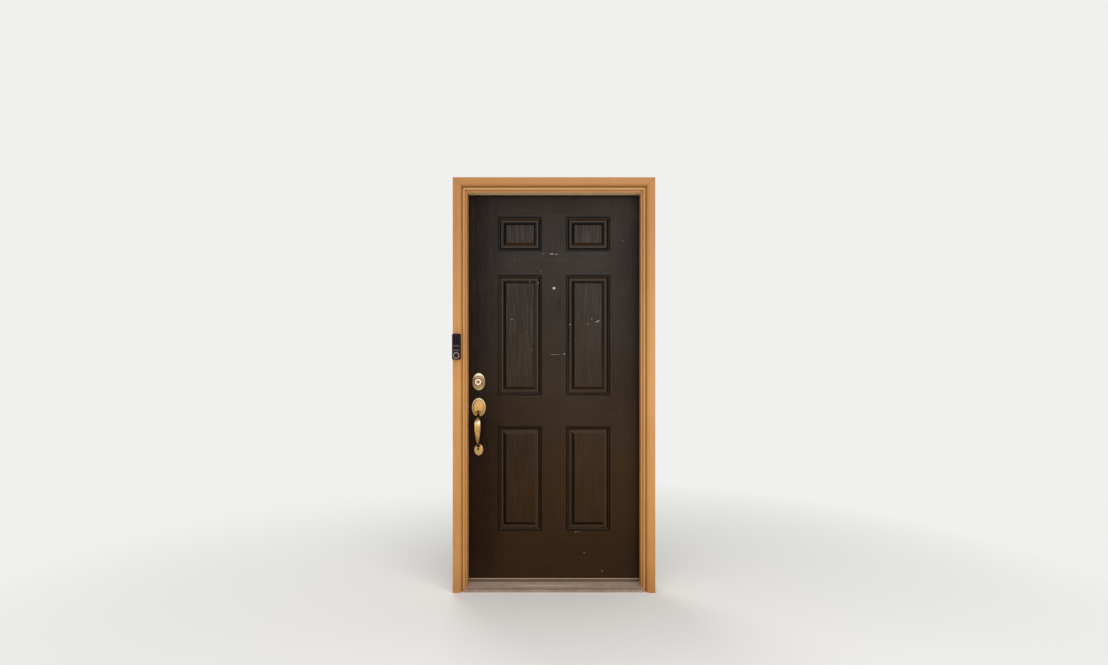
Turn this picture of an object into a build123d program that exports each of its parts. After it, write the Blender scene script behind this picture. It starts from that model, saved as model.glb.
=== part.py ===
from build123d import *
import os
from math import cos, radians, sin

# A panelled front door, hung in its frame. Sizes are in millimetres. X runs along the wall, to the
# right as seen from outside, Y runs into the house and Z up. The origin is at the foot of the sill,
# in the middle of the doorway, on the plane where the casing's back meets the wall.

# Leaf
leaf_width = 908.0
leaf_height = 2007.0
leaf_thick = 44.45
skin_thick = 2.0
stile_width = 38.0
top_rail_height = 38.0
bottom_rail_height = 45.0
edge_gap = 3.2  # from the leaf to the jambs and the head

# Panels, as plain strips of the leaf's face between them
stile_face = 160.3
mullion_face = 127.0
bottom_rail_face = 246.0
lock_rail_face = 163.0
cross_rail_face = 125.0
top_rail_face = 120.0
bottom_panel_height = 545.0
top_panel_height = 180.0

# Moulding round each panel, from the panel's edge inwards
edge_bevel = 1.0
edge_drop = 2.0
sticking_width = 19.0
moulding_depth = 11.0
valley_width = 8.0
cove_width = 14.0
cove_top = 3.2
ogee_sag = 0.8
ogee_lift = 2.0  # of the ogee's middle, towards the face
field_chamfer = 2.5
field_depth = 2.0

# Jambs
jamb_thick = 19.05
jamb_depth = 115.9
stop_proud = 12.7
rabbet_depth = 52.4
kerf_width = 3.0
kerf_depth = 10.0

# Casing
casing_width = 57.15
casing_thick = 31.75
casing_reveal = 12.7
bead_width = 8.0
bead_low = 14.0
bead_high = 17.6
quirk_width = 5.6
quirk_level = 11.0
slope_start = 22.0
slope_width = 15.0
slope_sag = 1.4  # of the curved slope, off its chord

# Sill
sill_front = 25.0  # in front of the jambs
sill_front_top = 16.0
sill_back_top = 24.0
deck_thick = 1.6
cap_bottom = 32.0
cap_thick = 8.0
cap_nose = 3.0  # in front of the leaf's face
cap_nose_radius = 3.0
cap_overhang = 6.0
sweep_gap = 4.0  # under the leaf
sweep_base = 1.2
sweep_inset = 1.0
sweep_fin = 1.4
fin_count = 4
barb_width = 2.6
barb_height = 8.0
barb_spread = 20.2  # between the two barbs
barb_clearance = 0.2
barb_room = 1.0  # over the barbs, in their grooves

# Weatherstrip
strip_clearance = 0.3  # between the bulb and the leaf
strip_side_gap = 0.8
strip_radius = 3.0
strip_stem = 2.4
stem_room = 1.0  # behind the stem, in its kerf

# Hinges
hinge_height = 101.6
plate_thick = 2.6
plate_setback = 6.0  # from the leaf's outer face to the plate's edge
plate_corner = 6.35
knuckle_radius = 6.0
knuckle_gap = 0.3
knuckle_count = 5
pin_radius = 3.0
pin_clearance = 0.05
pin_head_radius = 5.2
pin_head_height = 3.5
pin_head_edge = 1.2
top_hinge_drop = 178.0
bottom_hinge_rise = 280.0
hinge_screw_spread = 76.0
hinge_screw_offset = 9.0

# Wood screws
screw_radius = 2.2
screw_head_radius = 4.3
screw_head_height = 2.2
screw_length = 26.0
screw_clearance = 0.1
screw_tip_cover = 1.0  # of jamb behind a screw's tip
screw_tip_room = 1.0  # in front of the lower rose's screw
drive_width = 1.0
drive_length = 4.6
drive_depth = 1.1

# Lock positions
backset = 60.3
deadbolt_height = 1024.0  # over the leaf's foot
lock_spacing = 140.0
cross_bore_radius = 27.0
edge_bore_radius = 12.8
case_radius = 12.5
faceplate_width = 25.4
faceplate_height = 57.2
faceplate_thick = 3.0
faceplate_screw_spread = 42.0
bolt_clearance = 0.2
case_tail_height = 22.0
lock_block_width = 100.0
lock_block_height = 520.0
lock_block_margin = 5.0  # under the lower rose's screw

# Deadbolt
dead_bolt_thick = 15.0
dead_bolt_height = 20.0
dead_bolt_corner = 5.0
dead_bolt_length = 34.0
dead_bolt_chamfer = 0.8
dead_case_room = 3.0  # behind the bolt, drawn back
dead_case_tail = 13.0
dead_case_end = 13.0  # past the tailpiece's centre
tailpiece_room = 1.2
tailpiece_hole_depth = 20.0
dead_rose_width = 66.5
dead_rose_height = 91.0
dead_rose_thick = 4.0
dead_rose_edge = 2.2
dead_step_width = 48.0
dead_step_height = 58.0
dead_step_rise = 4.5
dead_step_edge = 2.6
collar_radius = 20.0
collar_band = 3.0
collar_shoulder_radius = 17.5
collar_face_radius = 16.0
collar_face_edge = 1.5
collar_reach = 27.0  # from the leaf's face
collar_neck_radius = 15.0
collar_flange_radius = 23.5
collar_flange_thick = 4.0
collar_flange_sink = 6.0  # its back, behind the leaf's face
collar_dish_radius = 9.7
collar_dish_slope = 1.5
collar_dish = 1.2
plug_radius = 7.2
plug_recess = 0.8
plug_length = 32.0
key_slot_width = 2.2
key_slot_height = 9.0
key_slot_depth = 6.0

# Latch
latch_thick = 12.0
latch_height = 17.0
latch_corner = 2.0
latch_head_length = 22.0
latch_throw = 12.5
latch_stem = 4.6
latch_stem_length = 26.0
latch_tip_flat = 2.5
latch_case_end = 2.0  # behind the spring's seat
latch_case_tail = 15.0
latch_tail_end = 14.8  # past the spindle's centre
spindle_hole_radius = 5.4
spring_room = 21.0
spring_clearance = 0.2
spring_radius = 4.4
spring_wire = 0.6
spring_turns = 7

# Thumbturn and inside knob
inner_plate_radius = 33.0
inner_plate_thick = 6.0
inner_plate_edge = 2.5
turn_gap = 0.3  # between the plate and the thumbturn's hub
turn_neck_radius = 7.0
turn_hub_radius = 9.0
turn_hub_height = 5.0
turn_wing_length = 40.0
turn_wing_thick = 5.0
turn_wing_height = 15.0
turn_wing_seat = 2.0  # over the hub's foot
turn_wing_inset = 6.0
turn_wing_edge = 1.0
tailpiece_width = 7.0
tailpiece_thick = 2.4
tailpiece_reach = 9.0  # past the leaf's middle
knob_rose_radius = 33.0
knob_rose_thick = 9.0
knob_rose_edge = 4.0
knob_radius = 26.0
knob_reach = 60.0
knob_flare_start = 24.0
knob_flare_slope = 0.35
knob_widest = 42.0
knob_flat_radius = 16.0
knob_neck_radius = 10.5
latch_screw_bite = 3.0  # into the escutcheon
spindle_width = 6.8
spindle_reach = 12.0  # past the leaf's middle
long_screw_radius = 2.4
long_screw_head = 1.8
dead_screw_offset = 19.5  # over and under the deadbolt's case
latch_screw_side = 14.0  # both of the latch's screws run over its case
latch_screw_rise = 16.0
turn_clearance = 0.05

# Handle
handle_rise = 6.0  # the escutcheon's centre over the latch
escutcheon_width = 73.0
escutcheon_height = 99.0
escutcheon_rim = 9.5
escutcheon_rim_thick = 4.0
escutcheon_rim_edge = 2.4
escutcheon_thick = 8.5
escutcheon_edge = 3.0
slot_width = 28.0
slot_height = 8.5
slot_drop = 21.0  # below the escutcheon's centre
thumb_width = 24.0
thumb_neck_width = 15.0
thumb_thick = 3.2
thumb_reach = 36.0
thumb_tilt = 5.0
thumb_shoulder = 10.0
thumb_round = 9.0
thumb_root = 3.0
thumb_knee = 2.0  # in front of the escutcheon
thumb_pin_radius = 1.6
thumb_pin_proud = 3.4  # the pin's centre in front of the leaf
thumb_pin_bite = 1.5  # into the escutcheon, on both sides of the slot
thumb_pin_end_gap = 0.5
thumb_tail = 4.0  # behind the leaf's face
grip_root_drop = 36.0  # below the escutcheon's centre
grip_root_width = 16.0
grip_root_height = 14.0
grip_reach = 59.0
grip_width = 34.5
grip_thick = 14.0
grip_neck_width = 15.5
lower_rose_drop = 215.0  # below the latch
lower_rose_width = 47.5
lower_rose_height = 60.0
lower_rose_thick = 6.0
lower_rose_edge = 3.0
grip_straight = 2.0  # of tenon in front of each plate
grip_foot_rise = 17.0  # over the lower rose's centre
grip_foot_width = 15.0
grip_foot_height = 11.0
rose_screw_rise = 2.0
rose_screw_bite = 30.0  # into the leaf

# Strikes
strike_thick = 1.6
strike_width = 28.6
latch_strike_height = 57.0
dead_strike_height = 70.0
strike_hole_margin = 2.2
strike_screw_margin = 6.8  # from the plate's end
strike_joint_margin = 8.0  # from the plate's end to the glued joint in the jamb
strike_lip_height = 30.0
strike_lip_reach = 3.0
strike_lip_edge = 1.4
latch_pocket_depth = 15.0

# Door viewer
viewer_height = 1513.0  # over the leaf's foot
viewer_barrel_radius = 6.0
viewer_hole_radius = 6.3
viewer_flange_radius = 8.0
viewer_flange_thick = 2.2
viewer_flange_edge = 1.3
viewer_sleeve_rim = 1.0  # its flange, wider than the barrel's
viewer_bore_radius = 4.4
viewer_barrel_length = 30.0
viewer_sleeve_bore = 3.0
viewer_sleeve_length = 28.0
viewer_lens_thick = 3.0
viewer_lens_dome = 1.6

# Doorbell
bell_width = 43.0
bell_height = 131.0
bell_reach = 20.0
bell_corner = 7.0
bell_edge = 2.5
bell_height_over_sill = 1251.0
bell_offset = 493.5  # from the middle of the doorway
bracket_width = 24.0
bracket_height = 118.0
bracket_thick = 3.5
bracket_corner = 3.0
window_width = 34.0
window_height = 47.0
window_drop = 7.0  # from the body's top edge
window_thick = 1.6
window_proud = 0.3
window_corner = 5.0
ring_outer_radius = 17.2
ring_inner_radius = 12.0
ring_thick = 2.4
ring_edge = 0.7
ring_proud = 0.6
button_radius = 11.6
button_thick = 4.0
button_edge = 1.0
button_proud = 1.2
button_travel = 1.0
button_rise = 21.0  # over the body's lower edge

# Places that several pieces share
leaf_edge = leaf_width / 2
leaf_foot = cap_bottom + cap_thick + sweep_gap
leaf_top = leaf_foot + leaf_height
leaf_back = jamb_depth
leaf_face = leaf_back - leaf_thick
leaf_middle = (leaf_face + leaf_back) / 2
rabbet_x = leaf_edge + edge_gap
stop_x = rabbet_x - stop_proud
frame_x = rabbet_x + jamb_thick
rabbet_top = leaf_top + edge_gap
stop_top = rabbet_top - stop_proud
frame_top = rabbet_top + jamb_thick
shoulder = jamb_depth - rabbet_depth
casing_inner_x = stop_x + casing_reveal
casing_outer_x = casing_inner_x + casing_width
casing_inner_top = stop_top + casing_reveal
casing_outer_top = casing_inner_top + casing_width
cap_top = cap_bottom + cap_thick
moulding_width = sticking_width + valley_width + cove_width + field_chamfer
lock_x = backset - leaf_edge
deadbolt_z = leaf_foot + deadbolt_height
latch_z = deadbolt_z - lock_spacing
pin_x = leaf_edge + edge_gap / 2
pin_y = leaf_back + knuckle_radius
plate_edge = leaf_face + plate_setback
escutcheon_z = latch_z + handle_rise
lower_rose_z = latch_z - lower_rose_drop
rose_screw_z = lower_rose_z + rose_screw_rise
block_foot = rose_screw_z - lock_block_margin
block_top = block_foot + lock_block_height
block_x = stile_width + lock_block_width - leaf_edge
dead_screw_places = [(lock_x, deadbolt_z + side * dead_screw_offset) for side in (-1, 1)]
latch_screw_places = [(lock_x + side * latch_screw_side, latch_z + latch_screw_rise)
                      for side in (-1, 1)]

os.makedirs("parts", exist_ok=True)


# Small helpers, each used inside the part that is being built

def block(low, high, mode=Mode.ADD):
    size = [far - near for near, far in zip(low, high)]
    middle = tuple((far + near) / 2 for near, far in zip(low, high))
    with Locations(middle):
        Box(*size, mode=mode)


def rod(start, direction, length, radius, mode=Mode.ADD):
    with BuildSketch(Plane(origin=start, z_dir=direction)) as disc:
        Circle(radius)
    extrude(disc.sketch, amount=length, mode=mode)


def outward(x, y, z):
    # a plane on the leaf's outer side, seen as from the street: x to the right, y up
    return Plane(origin=(x, y, z), x_dir=(1, 0, 0), z_dir=(0, -1, 0))


def inward(x, y, z):
    # a plane on the leaf's inner side, facing into the house, y up
    return Plane(origin=(x, y, z), x_dir=(-1, 0, 0), z_dir=(0, 1, 0))


def oval(plane, width, height, thick, edge, mode=Mode.ADD):
    # an oval plate with its front edge rounded over
    with BuildPart(mode=Mode.PRIVATE) as plate:
        with BuildSketch(plane) as shape:
            Ellipse(width / 2, height / 2)
        extrude(shape.sketch, amount=thick)
        front = plate.faces().sort_by(Axis(plane.origin, plane.z_dir))[-1]
        fillet(front.edges(), edge)
    add(plate.part, mode=mode)


def finish(piece, name):
    piece.label = name
    export_step(piece, f"parts/{name}.step")


# Screws: a countersunk head with a cross recess, flush with the face it is driven into

def wood_screw(place, direction, length=screw_length, grow=0.0):
    direction = Vector(*direction)
    with BuildPart() as screw:
        plane = Plane(origin=place, z_dir=direction)
        with BuildSketch(plane) as head:
            Circle(screw_head_radius + grow)
        with BuildSketch(plane.offset(screw_head_height)) as neck:
            Circle(screw_radius + grow)
        loft([head.sketch.face(), neck.sketch.face()])
        extrude(neck.sketch, amount=length - screw_head_height + grow)
        if grow == 0.0:
            with BuildSketch(plane) as recess:
                Rectangle(drive_length, drive_width)
                Rectangle(drive_width, drive_length)
            extrude(recess.sketch, amount=drive_depth, mode=Mode.SUBTRACT)
    return screw.part


def hinge_screw_rows(z):
    return [z + hinge_screw_spread / 2 * step for step in (-1, 0, 1)]


hinge_heights = {
    "top": leaf_top - top_hinge_drop - hinge_height / 2,
    "bottom": leaf_foot + bottom_hinge_rise + hinge_height / 2,
}
hinge_heights["middle"] = (hinge_heights["top"] + hinge_heights["bottom"]) / 2

# The three screws of a plate zigzag a little, as on a real hinge
hinge_screw_y = (plate_edge + leaf_back) / 2
hinge_screw_places = [
    (hinge_screw_y + hinge_screw_offset * (-1 if row == 1 else 1), height)
    for z in hinge_heights.values()
    for row, height in enumerate(hinge_screw_rows(z))
]
faceplate_screw_places = [
    (leaf_middle, z + side * faceplate_screw_spread / 2)
    for z in (latch_z, deadbolt_z)
    for side in (-1, 1)
]
strike_screw_places = [
    (leaf_middle, z + side * (height / 2 - strike_screw_margin))
    for z, height in ((latch_z, latch_strike_height), (deadbolt_z, dead_strike_height))
    for side in (-1, 1)
]


def frame_screw_set(grow=0.0):
    with BuildPart() as screws:
        for y, z in hinge_screw_places:
            add(wood_screw((rabbet_x, y, z), (1, 0, 0), jamb_thick - screw_tip_cover, grow))
        for y, z in strike_screw_places:
            add(wood_screw((-rabbet_x, y, z), (-1, 0, 0), jamb_thick - screw_tip_cover, grow))
    return screws.part


def leaf_screw_set(grow=0.0):
    with BuildPart() as screws:
        for y, z in hinge_screw_places:
            add(wood_screw((leaf_edge, y, z), (-1, 0, 0), screw_length, grow))
        for y, z in faceplate_screw_places:
            add(wood_screw((-leaf_edge, y, z), (1, 0, 0), screw_length, grow))
    return screws.part


frame_screw_holes = frame_screw_set(screw_clearance)
leaf_screw_holes = leaf_screw_set(screw_clearance)


# Hinges: two plates let in flush, with their knuckles in turn along one pin

def hinge_plate_blank(x, z):
    with BuildPart() as blank:
        with BuildSketch(Plane.YZ.offset(x)) as outline:
            with Locations(((plate_edge + leaf_back) / 2, z)):
                Rectangle(leaf_back - plate_edge, hinge_height)
            fillet(outline.vertices().group_by(Axis.X)[0], plate_corner)
        extrude(outline.sketch, amount=plate_thick)
    return blank.part


def hinge_plate(x, z, first_knuckle):
    length = (hinge_height - (knuckle_count - 1) * knuckle_gap) / knuckle_count
    with BuildPart() as plate:
        add(hinge_plate_blank(x, z))
        for index in range(first_knuckle, knuckle_count, 2):
            foot = z - hinge_height / 2 + index * (length + knuckle_gap)
            block((x, leaf_back, foot), (x + plate_thick, pin_y, foot + length))
            rod((pin_x, pin_y, foot), (0, 0, 1), length, knuckle_radius)
        rod((pin_x, pin_y, z - hinge_height / 2), (0, 0, 1), hinge_height,
            pin_radius + pin_clearance, Mode.SUBTRACT)
        holes = leaf_screw_holes if first_knuckle else frame_screw_holes
        add(holes, mode=Mode.SUBTRACT)
    return plate.part


jamb_plate_x = rabbet_x
leaf_plate_x = leaf_edge - plate_thick
for name, z in hinge_heights.items():
    finish(hinge_plate(jamb_plate_x, z, 0), f"hinge_{name}_jamb_plate")
    finish(hinge_plate(leaf_plate_x, z, 1), f"hinge_{name}_leaf_plate")

with BuildPart() as hinge_pins:
    for z in hinge_heights.values():
        rod((pin_x, pin_y, z - hinge_height / 2), (0, 0, 1), hinge_height, pin_radius)
        rod((pin_x, pin_y, z + hinge_height / 2), (0, 0, 1), pin_head_height, pin_head_radius)
        rod((pin_x, pin_y, z - hinge_height / 2), (0, 0, -1), pin_head_height, pin_head_radius)
    pin_rims = hinge_pins.edges().filter_by(GeomType.CIRCLE).filter_by(
        lambda edge: abs(edge.radius - pin_head_radius) < 0.01)
    fillet(pin_rims.group_by(Axis.Z)[0] + pin_rims.group_by(Axis.Z)[-1], pin_head_edge)
finish(hinge_pins.part, "hinge_pins")


# Bolts, with the shapes that their holes and cases follow

def dead_bolt_blank(length, grow=0.0, start=-leaf_edge):
    with BuildPart() as bolt:
        with BuildSketch(Plane.YZ.offset(start)) as outline:
            with Locations((leaf_middle, deadbolt_z)):
                RectangleRounded(dead_bolt_thick + 2 * grow, dead_bolt_height + 2 * grow,
                                 dead_bolt_corner + grow)
        extrude(outline.sketch, amount=length)
    return bolt.part


def latch_head_blank(length, grow=0.0, start=-leaf_edge):
    with BuildPart() as bolt:
        with BuildSketch(Plane.YZ.offset(start)) as outline:
            with Locations((leaf_middle, latch_z)):
                RectangleRounded(latch_thick + 2 * grow, latch_height + 2 * grow,
                                 latch_corner + grow)
        extrude(outline.sketch, amount=length)
    return bolt.part


def edge_cuts(mode=Mode.SUBTRACT):
    # the bores and the shallow mortises that both locks need in the leaf's edge
    for z in (latch_z, deadbolt_z):
        rod((-leaf_edge, leaf_middle, z), (1, 0, 0), backset, edge_bore_radius, mode)
        rod((lock_x, leaf_face, z), (0, 1, 0), leaf_thick, cross_bore_radius, mode)
        block((-leaf_edge, leaf_middle - faceplate_width / 2, z - faceplate_height / 2),
              (faceplate_thick - leaf_edge, leaf_middle + faceplate_width / 2,
               z + faceplate_height / 2), mode)
    rod((lock_x, leaf_face, rose_screw_z), (0, 1, 0), rose_screw_bite + screw_tip_room,
        screw_radius + screw_clearance, mode)


def faceplate(z, opening):
    with BuildPart() as plate:
        with BuildSketch(Plane.YZ.offset(-leaf_edge)) as outline:
            with Locations((leaf_middle, z)):
                Rectangle(faceplate_width, faceplate_height)
        extrude(outline.sketch, amount=faceplate_thick)
        add(opening, mode=Mode.SUBTRACT)
        add(leaf_screw_holes, mode=Mode.SUBTRACT)
    return plate.part


finish(faceplate(deadbolt_z, dead_bolt_blank(faceplate_thick, bolt_clearance)),
       "deadbolt_faceplate")
finish(faceplate(latch_z, latch_head_blank(faceplate_thick, bolt_clearance)),
       "latch_faceplate")


# Jambs: the stop and the rebate are one length of wood, with a kerf for the weatherstrip

kerf_middle = (stop_x + rabbet_x) / 2

with BuildPart() as jamb_right:
    with BuildSketch() as section:
        with BuildLine():
            Polyline((frame_x, 0), (frame_x, jamb_depth), (rabbet_x, jamb_depth),
                     (rabbet_x, shoulder), (kerf_middle + kerf_width / 2, shoulder),
                     (kerf_middle + kerf_width / 2, shoulder - kerf_depth),
                     (kerf_middle - kerf_width / 2, shoulder - kerf_depth),
                     (kerf_middle - kerf_width / 2, shoulder), (stop_x, shoulder),
                     (stop_x, 0), close=True)
        make_face()
    extrude(amount=frame_top)
    plain_jamb = jamb_right.part
    for z in hinge_heights.values():
        add(hinge_plate_blank(jamb_plate_x, z), mode=Mode.SUBTRACT)
    add(frame_screw_holes, mode=Mode.SUBTRACT)
finish(jamb_right.part, "jamb_right")


def strike_outline(z, height, depth, mode=Mode.ADD):
    block((-rabbet_x - depth, leaf_middle - strike_width / 2, z - height / 2),
          (-rabbet_x, leaf_middle + strike_width / 2, z + height / 2), mode)


def strike_lip(depth, mode=Mode.ADD):
    block((-rabbet_x - depth, leaf_middle, latch_z - strike_lip_height / 2),
          (-rabbet_x, jamb_depth, latch_z + strike_lip_height / 2), mode)


def strike_hole(z, thick, height, depth, mode=Mode.SUBTRACT):
    block((-rabbet_x - depth, leaf_middle - thick / 2 - strike_hole_margin,
           z - height / 2 - strike_hole_margin),
          (-rabbet_x, leaf_middle + thick / 2 + strike_hole_margin,
           z + height / 2 + strike_hole_margin), mode)


with BuildPart() as latch_jamb:
    add(mirror(plain_jamb, about=Plane.YZ))
    strike_outline(latch_z, latch_strike_height, strike_thick, Mode.SUBTRACT)
    strike_lip(strike_thick, Mode.SUBTRACT)
    strike_outline(deadbolt_z, dead_strike_height, strike_thick, Mode.SUBTRACT)
    strike_hole(latch_z, latch_thick, latch_height, latch_pocket_depth)
    strike_hole(deadbolt_z, dead_bolt_thick, dead_bolt_height, jamb_thick)
    add(frame_screw_holes, mode=Mode.SUBTRACT)


# The latch jamb is glued up end to end, with a joint above and below each strike

def jamb_lengths(*spans):
    with BuildPart() as lengths:
        for low, high in spans:
            block((-frame_x, 0, low), (-stop_x, jamb_depth, high))
        add(latch_jamb.part, mode=Mode.INTERSECT)
    return lengths.part


latch_joints = [latch_z + side * (latch_strike_height / 2 + strike_joint_margin)
                for side in (-1, 1)]
dead_joints = [deadbolt_z + side * (dead_strike_height / 2 + strike_joint_margin)
               for side in (-1, 1)]
finish(jamb_lengths((0, latch_joints[0]), (latch_joints[1], dead_joints[0]),
                    (dead_joints[1], frame_top)), "jamb_left")
finish(jamb_lengths(latch_joints, dead_joints), "jamb_left_strike_lengths")

with BuildPart() as latch_strike:
    strike_outline(latch_z, latch_strike_height, strike_thick)
    strike_lip(strike_thick)
    block((-rabbet_x - strike_lip_reach, jamb_depth, latch_z - strike_lip_height / 2),
          (-rabbet_x, jamb_depth + strike_thick, latch_z + strike_lip_height / 2))
    lip_corner = latch_strike.edges().filter_by(Axis.Z).group_by(Axis.Y)[-1].sort_by(Axis.X)[-1]
    fillet(lip_corner, strike_lip_edge)
    strike_hole(latch_z, latch_thick, latch_height, strike_thick)
    add(frame_screw_holes, mode=Mode.SUBTRACT)
finish(latch_strike.part, "latch_strike")

with BuildPart() as deadbolt_strike:
    strike_outline(deadbolt_z, dead_strike_height, strike_thick)
    strike_hole(deadbolt_z, dead_bolt_thick, dead_bolt_height, strike_thick)
    add(frame_screw_holes, mode=Mode.SUBTRACT)
finish(deadbolt_strike.part, "deadbolt_strike")

with BuildPart() as head_jamb:
    kerf_z = (stop_top + rabbet_top) / 2
    block((-stop_x, 0, stop_top), (stop_x, shoulder, frame_top))
    block((-rabbet_x, shoulder, rabbet_top), (rabbet_x, jamb_depth, frame_top))
    block((-stop_x, shoulder - kerf_depth, kerf_z - kerf_width / 2),
          (stop_x, shoulder, kerf_z + kerf_width / 2), Mode.SUBTRACT)
finish(head_jamb.part, "head_jamb")

finish(frame_screw_set(), "frame_screws")
finish(leaf_screw_set(), "leaf_screws")


# Casing: a bead, a quirk and a curved slope up to a flat band, mitred at the top corners

def casing_section():
    # u runs from the inner edge outwards, v from the wall to the street
    quirk_end = bead_width + quirk_width
    slope_end = quirk_end + slope_width
    bead_middle = bead_width / 2
    slope_middle = ((quirk_end + slope_end) / 2 - slope_sag,
                    (slope_start + casing_thick) / 2 + slope_sag)
    with BuildLine() as edge:
        Polyline((0, 0), (0, bead_low))
        ThreePointArc((0, bead_low), (bead_middle, bead_high), (bead_width, bead_low))
        Polyline((bead_width, bead_low), (bead_width, quirk_level), (quirk_end, quirk_level),
                 (quirk_end, slope_start))
        ThreePointArc((quirk_end, slope_start), slope_middle, (slope_end, casing_thick))
        Polyline((slope_end, casing_thick), (casing_width, casing_thick), (casing_width, 0),
                 (0, 0))
    make_face(edge.edges())


mitre_left = Plane(origin=(-casing_inner_x, 0, casing_inner_top), z_dir=(1, 0, 1))
mitre_right = Plane(origin=(casing_inner_x, 0, casing_inner_top), z_dir=(-1, 0, 1))

with BuildPart() as casing_left:
    with BuildSketch(Plane(origin=(-casing_inner_x, 0, 0), x_dir=(-1, 0, 0),
                           z_dir=(0, 0, 1))) as section:
        casing_section()
    extrude(amount=casing_outer_top)
    split(bisect_by=mitre_left, keep=Keep.BOTTOM)
finish(casing_left.part, "casing_left")

with BuildPart() as casing_right:
    add(mirror(casing_left.part, about=Plane.YZ))
finish(casing_right.part, "casing_right")

with BuildPart() as casing_head:
    with BuildSketch(Plane(origin=(-casing_outer_x, 0, casing_inner_top), x_dir=(0, 0, 1),
                           z_dir=(1, 0, 0))) as section:
        casing_section()
    extrude(amount=2 * casing_outer_x)
    split(bisect_by=mitre_left, keep=Keep.TOP)
    split(bisect_by=mitre_right, keep=Keep.TOP)
finish(casing_head.part, "casing_head")


# Sill: a bent metal deck over a core, and the cap that the leaf shuts over

cap_front = leaf_face - cap_nose
riser = cap_front + cap_overhang


def sill_plan():
    # between the casing's legs in front, between the stops, and between the rebates behind
    with BuildSketch() as plan:
        for half, near, far in ((casing_inner_x, -sill_front, 0), (stop_x, 0, shoulder),
                                (rabbet_x, shoulder, jamb_depth)):
            with Locations((0, (near + far) / 2)):
                Rectangle(2 * half, far - near)
    extrude(plan.sketch, amount=cap_bottom, mode=Mode.INTERSECT)


with BuildPart() as sill_deck:
    with BuildSketch(Plane.YZ.offset(-rabbet_x)) as section:
        with BuildLine():
            Polyline((-sill_front, 0), (-sill_front, sill_front_top), (riser, sill_back_top),
                     (riser, cap_bottom), (riser + deck_thick, cap_bottom),
                     (riser + deck_thick, sill_back_top - deck_thick),
                     (deck_thick - sill_front, sill_front_top - deck_thick),
                     (deck_thick - sill_front, 0), close=True)
        make_face()
    extrude(amount=2 * rabbet_x)
    sill_plan()
finish(sill_deck.part, "sill_deck")

with BuildPart() as sill_core:
    with BuildSketch(Plane.YZ.offset(-rabbet_x)) as section:
        with BuildLine():
            Polyline((deck_thick - sill_front, 0),
                     (deck_thick - sill_front, sill_front_top - deck_thick),
                     (riser + deck_thick, sill_back_top - deck_thick),
                     (riser + deck_thick, cap_bottom), (jamb_depth, cap_bottom),
                     (jamb_depth, 0), close=True)
        make_face()
    extrude(amount=2 * rabbet_x)
    sill_plan()
finish(sill_core.part, "sill_core")

with BuildPart() as threshold_cap:
    block((-rabbet_x, cap_front, cap_bottom), (rabbet_x, jamb_depth, cap_top))
    nose = threshold_cap.edges().filter_by(Axis.X).group_by(Axis.Y)[0]
    fillet(nose, cap_nose_radius)
finish(threshold_cap.part, "threshold_cap")


# Weatherstrip: a bulb in the rebate's shoulder, on a stem in the kerf

bulb_front = leaf_face - strip_clearance
stem_middle = shoulder + (strip_radius + stem_room - kerf_depth) / 2

with BuildPart() as weatherstrip_right:
    with BuildSketch(Plane.XY.offset(cap_top)) as section:
        with Locations(((stop_x + rabbet_x) / 2, (shoulder + bulb_front) / 2)):
            RectangleRounded(stop_proud - 2 * strip_side_gap, bulb_front - shoulder, strip_radius)
        with Locations((kerf_middle, stem_middle)):
            Rectangle(strip_stem, kerf_depth - stem_room + strip_radius)
    extrude(amount=rabbet_top - cap_top)
finish(weatherstrip_right.part, "weatherstrip_right")

with BuildPart() as weatherstrip_left:
    add(mirror(weatherstrip_right.part, about=Plane.YZ))
finish(weatherstrip_left.part, "weatherstrip_left")

with BuildPart() as weatherstrip_head:
    with BuildSketch(Plane.YZ.offset(-stop_x)) as section:
        with Locations(((shoulder + bulb_front) / 2, (stop_top + rabbet_top) / 2)):
            RectangleRounded(bulb_front - shoulder, stop_proud - 2 * strip_side_gap, strip_radius)
        with Locations((stem_middle, kerf_z)):
            Rectangle(kerf_depth - stem_room + strip_radius, strip_stem)
    extrude(amount=2 * stop_x)
finish(weatherstrip_head.part, "weatherstrip_head")


# Leaf: two moulded skins round stiles, rails, a lock block and a foam core

panel_width = (leaf_width - 2 * stile_face - mullion_face) / 2
middle_panel_height = (leaf_height - bottom_rail_face - bottom_panel_height - lock_rail_face
                       - cross_rail_face - top_panel_height - top_rail_face)
bottom_panel_foot = leaf_foot + bottom_rail_face
middle_panel_foot = bottom_panel_foot + bottom_panel_height + lock_rail_face
top_panel_foot = middle_panel_foot + middle_panel_height + cross_rail_face
panel_rows = [
    (bottom_panel_foot, bottom_panel_height),
    (middle_panel_foot, middle_panel_height),
    (top_panel_foot, top_panel_height),
]
panel_corners = [
    (side * (mullion_face + panel_width) / 2 - panel_width / 2, foot, height)
    for foot, height in panel_rows
    for side in (-1, 1)
]


def moulding_section(lift):
    # u runs from the panel's edge inwards, v into the leaf; lift carries the cut past the face
    valley = sticking_width + valley_width
    cove_end = valley + cove_width
    ogee = (sticking_width / 2, (edge_drop + moulding_depth) / 2 - ogee_lift)
    with BuildLine() as edge:
        Polyline((0, 0), (edge_bevel, edge_drop))
        SagittaArc((edge_bevel, edge_drop), ogee, -ogee_sag)
        SagittaArc(ogee, (sticking_width, moulding_depth), ogee_sag)
        Polyline((sticking_width, moulding_depth), (valley, moulding_depth))
        TangentArc((valley, moulding_depth), (cove_end, cove_top), tangent=(1, 0))
        Polyline((cove_end, cove_top), (moulding_width, field_depth), (moulding_width, 0), (0, 0))
    make_face(edge.edges())
    if lift > 0:
        with Locations((moulding_width / 2, -lift / 2)):
            Rectangle(moulding_width, lift)


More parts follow.
